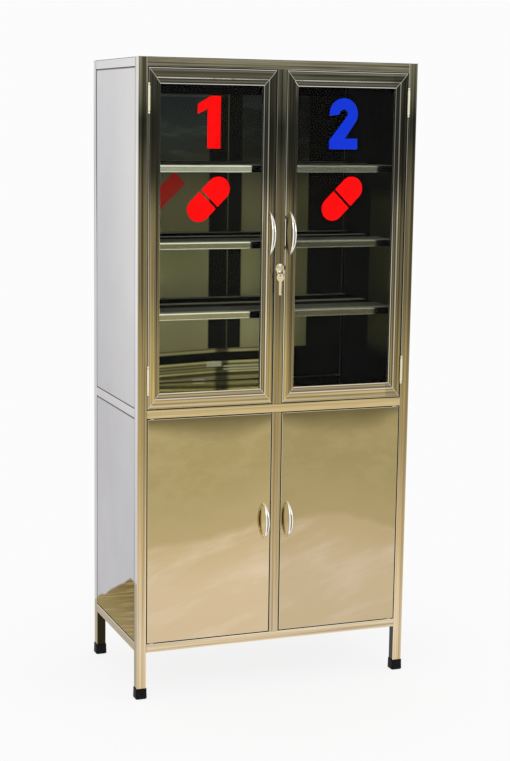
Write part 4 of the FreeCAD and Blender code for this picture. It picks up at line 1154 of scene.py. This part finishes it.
class CABINET_OT_door_marks(bpy.types.Operator):
    """Add the vinyl numerals and capsule marks on the panes"""
    bl_idname = "cabinet.door_marks"
    bl_label = "Door marks"

    def execute(self, context):
        sizes, tones = settings().fittings, settings().doors
        red = vinyl_material("red_vinyl", tones.red_vinyl)
        blue = vinyl_material("blue_vinyl", tones.blue_vinyl)
        for hand, film, outline in (("left", red, np.array(ONE_OUTLINE)), ("right", blue, two_outline())):
            low, high = corners("upper_door_glass_" + hand)
            x, y = (low[0] + high[0]) / 2 + sizes.mark_shift, low[1]
            body = "upper_%s_door" % hand
            figure = numeral(outline, (x, y, sizes.numeral_middle), sizes.numeral_height, sizes.vinyl_thick)
            place_mesh("numeral_" + hand, [figure], film, body)
            halves = [capsule_half((x, y, sizes.capsule_middle), (sizes.capsule_length, sizes.capsule_width),
                                   sizes.capsule_gap, sizes.vinyl_thick, side) for side in HANDS.values()]
            place_mesh("capsule_mark_" + hand, halves, red, body)
        return {"FINISHED"}


def soft_light(name, watts, size, place, target):
    """A square soft light aimed at a point."""
    lamp = bpy.data.lights.new(name, "AREA")
    lamp.energy = watts
    lamp.size = size
    carrier = bpy.data.objects.new(name, lamp)
    carrier.visible_transmission = False
    carrier.location = place
    carrier.rotation_euler = (Vector(target) - Vector(place)).to_track_quat("-Z", "Y").to_euler()
    bpy.context.scene.collection.objects.link(carrier)


FLOOR_CORNERS = np.array(((-1.0, -1.0, 0.0), (1.0, -1.0, 0.0), (1.0, 1.0, 0.0), (-1.0, 1.0, 0.0)))
VEIL_REACH, SENSOR_WIDTH = (0.4, 1.3), 36.0


class CABINET_OT_stage(bpy.types.Operator):
    """Set the floor, the light and the camera"""
    bl_idname = "cabinet.stage"
    bl_label = "Stage"

    def execute(self, context):
        scene, stage = bpy.context.scene, settings().stage
        scene.view_settings.view_transform = "Standard"
        world = scene.world or bpy.data.worlds.new("studio")
        scene.world = world
        world.use_nodes = True
        world.node_tree.nodes.clear()
        pen = Pen(world.node_tree)
        rays = pen.wires(pen.node("ShaderNodeLightPath"))
        mirrored = pen.math("MAXIMUM", rays["Is Glossy Ray"], rays["Is Transmission Ray"])
        seen = pen.math("MAXIMUM", rays["Is Camera Ray"], mirrored)
        level = seen * (stage.white - stage.surround) + stage.surround
        sky = pen.wire("ShaderNodeBackground", {"Color": WHITE, "Strength": level})
        pen.node("ShaderNodeOutputWorld", {"Surface": sky})

        mesh = bpy.data.meshes.new("studio_floor")
        mesh.from_pydata((stage.floor_size * FLOOR_CORNERS).tolist(), [], [(0, 1, 2, 3)])
        floor = bpy.data.objects.new("studio_floor", mesh)
        scene.collection.objects.link(floor)
        material = bpy.data.materials.new("studio_floor")
        material.use_nodes = True
        material.node_tree.nodes.clear()
        pen = Pen(material.node_tree)
        reach = pen.wire("ShaderNodeVectorMath", {0: pen.vector}, "Value", operation="LENGTH")
        paper = pen.wire("ShaderNodeBsdfDiffuse", {"Color": (stage.floor, stage.floor, stage.floor, 1.0)})
        glow = pen.wire("ShaderNodeEmission", {"Strength": stage.white})
        veil = pen.band(reach, *VEIL_REACH, stage.veil, 1.0)
        blend = pen.wire("ShaderNodeMixShader", {0: veil, 1: paper, 2: glow})
        pen.node("ShaderNodeOutputMaterial", {"Surface": blend})
        mesh.materials.append(material)

        soft_light("key_light", stage.key_power, size=1.8, place=(-2.4, -2.8, 3.4), target=(0.0, 0.0, 0.9))
        soft_light("fill_light", stage.fill_power, size=1.4, place=(2.6, -2.2, 2.2), target=(0.0, 0.0, 0.8))

        camera = bpy.data.cameras.new("photo_camera")
        camera.sensor_width = SENSOR_WIDTH
        camera.lens = stage.lens
        carrier = bpy.data.objects.new("photo_camera", camera)
        carrier.location = stage.camera_place
        carrier.rotation_euler = stage.camera_turn
        scene.collection.objects.link(carrier)
        scene.camera = carrier
        return {"FINISHED"}


STEPS = (CABINET_OT_stage, CABINET_OT_carcass, CABINET_OT_sides, CABINET_OT_inside, CABINET_OT_glazed_doors,
         CABINET_OT_steel_doors, CABINET_OT_fittings, CABINET_OT_handle_screws, CABINET_OT_feet,
         CABINET_OT_door_marks)


class CABINET_PT_panel(bpy.types.Panel):
    """Steps that finish the cabinet"""
    bl_idname = "CABINET_PT_panel"
    bl_label = "Medicine cabinet"
    bl_space_type = "VIEW_3D"
    bl_region_type = "UI"
    bl_category = "Cabinet"

    def draw(self, context):
        for step in STEPS:
            self.layout.operator(step.bl_idname)


CLASSES = (CarcassTones, DoorTones, InsideTones, FittingSizes, StageSettings, CabinetSettings) + STEPS + (
    CABINET_PT_panel,)


def register():
    for item in CLASSES:
        bpy.utils.register_class(item)
    bpy.types.Scene.cabinet_settings = PointerProperty(type=CabinetSettings)


def unregister():
    del bpy.types.Scene.cabinet_settings
    for item in reversed(CLASSES):
        bpy.utils.unregister_class(item)


def main():
    """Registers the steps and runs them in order."""
    register()
    for step in STEPS:
        group, name = step.bl_idname.split(".")
        getattr(getattr(bpy.ops, group), name)()


if __name__ == "__main__":
    main()
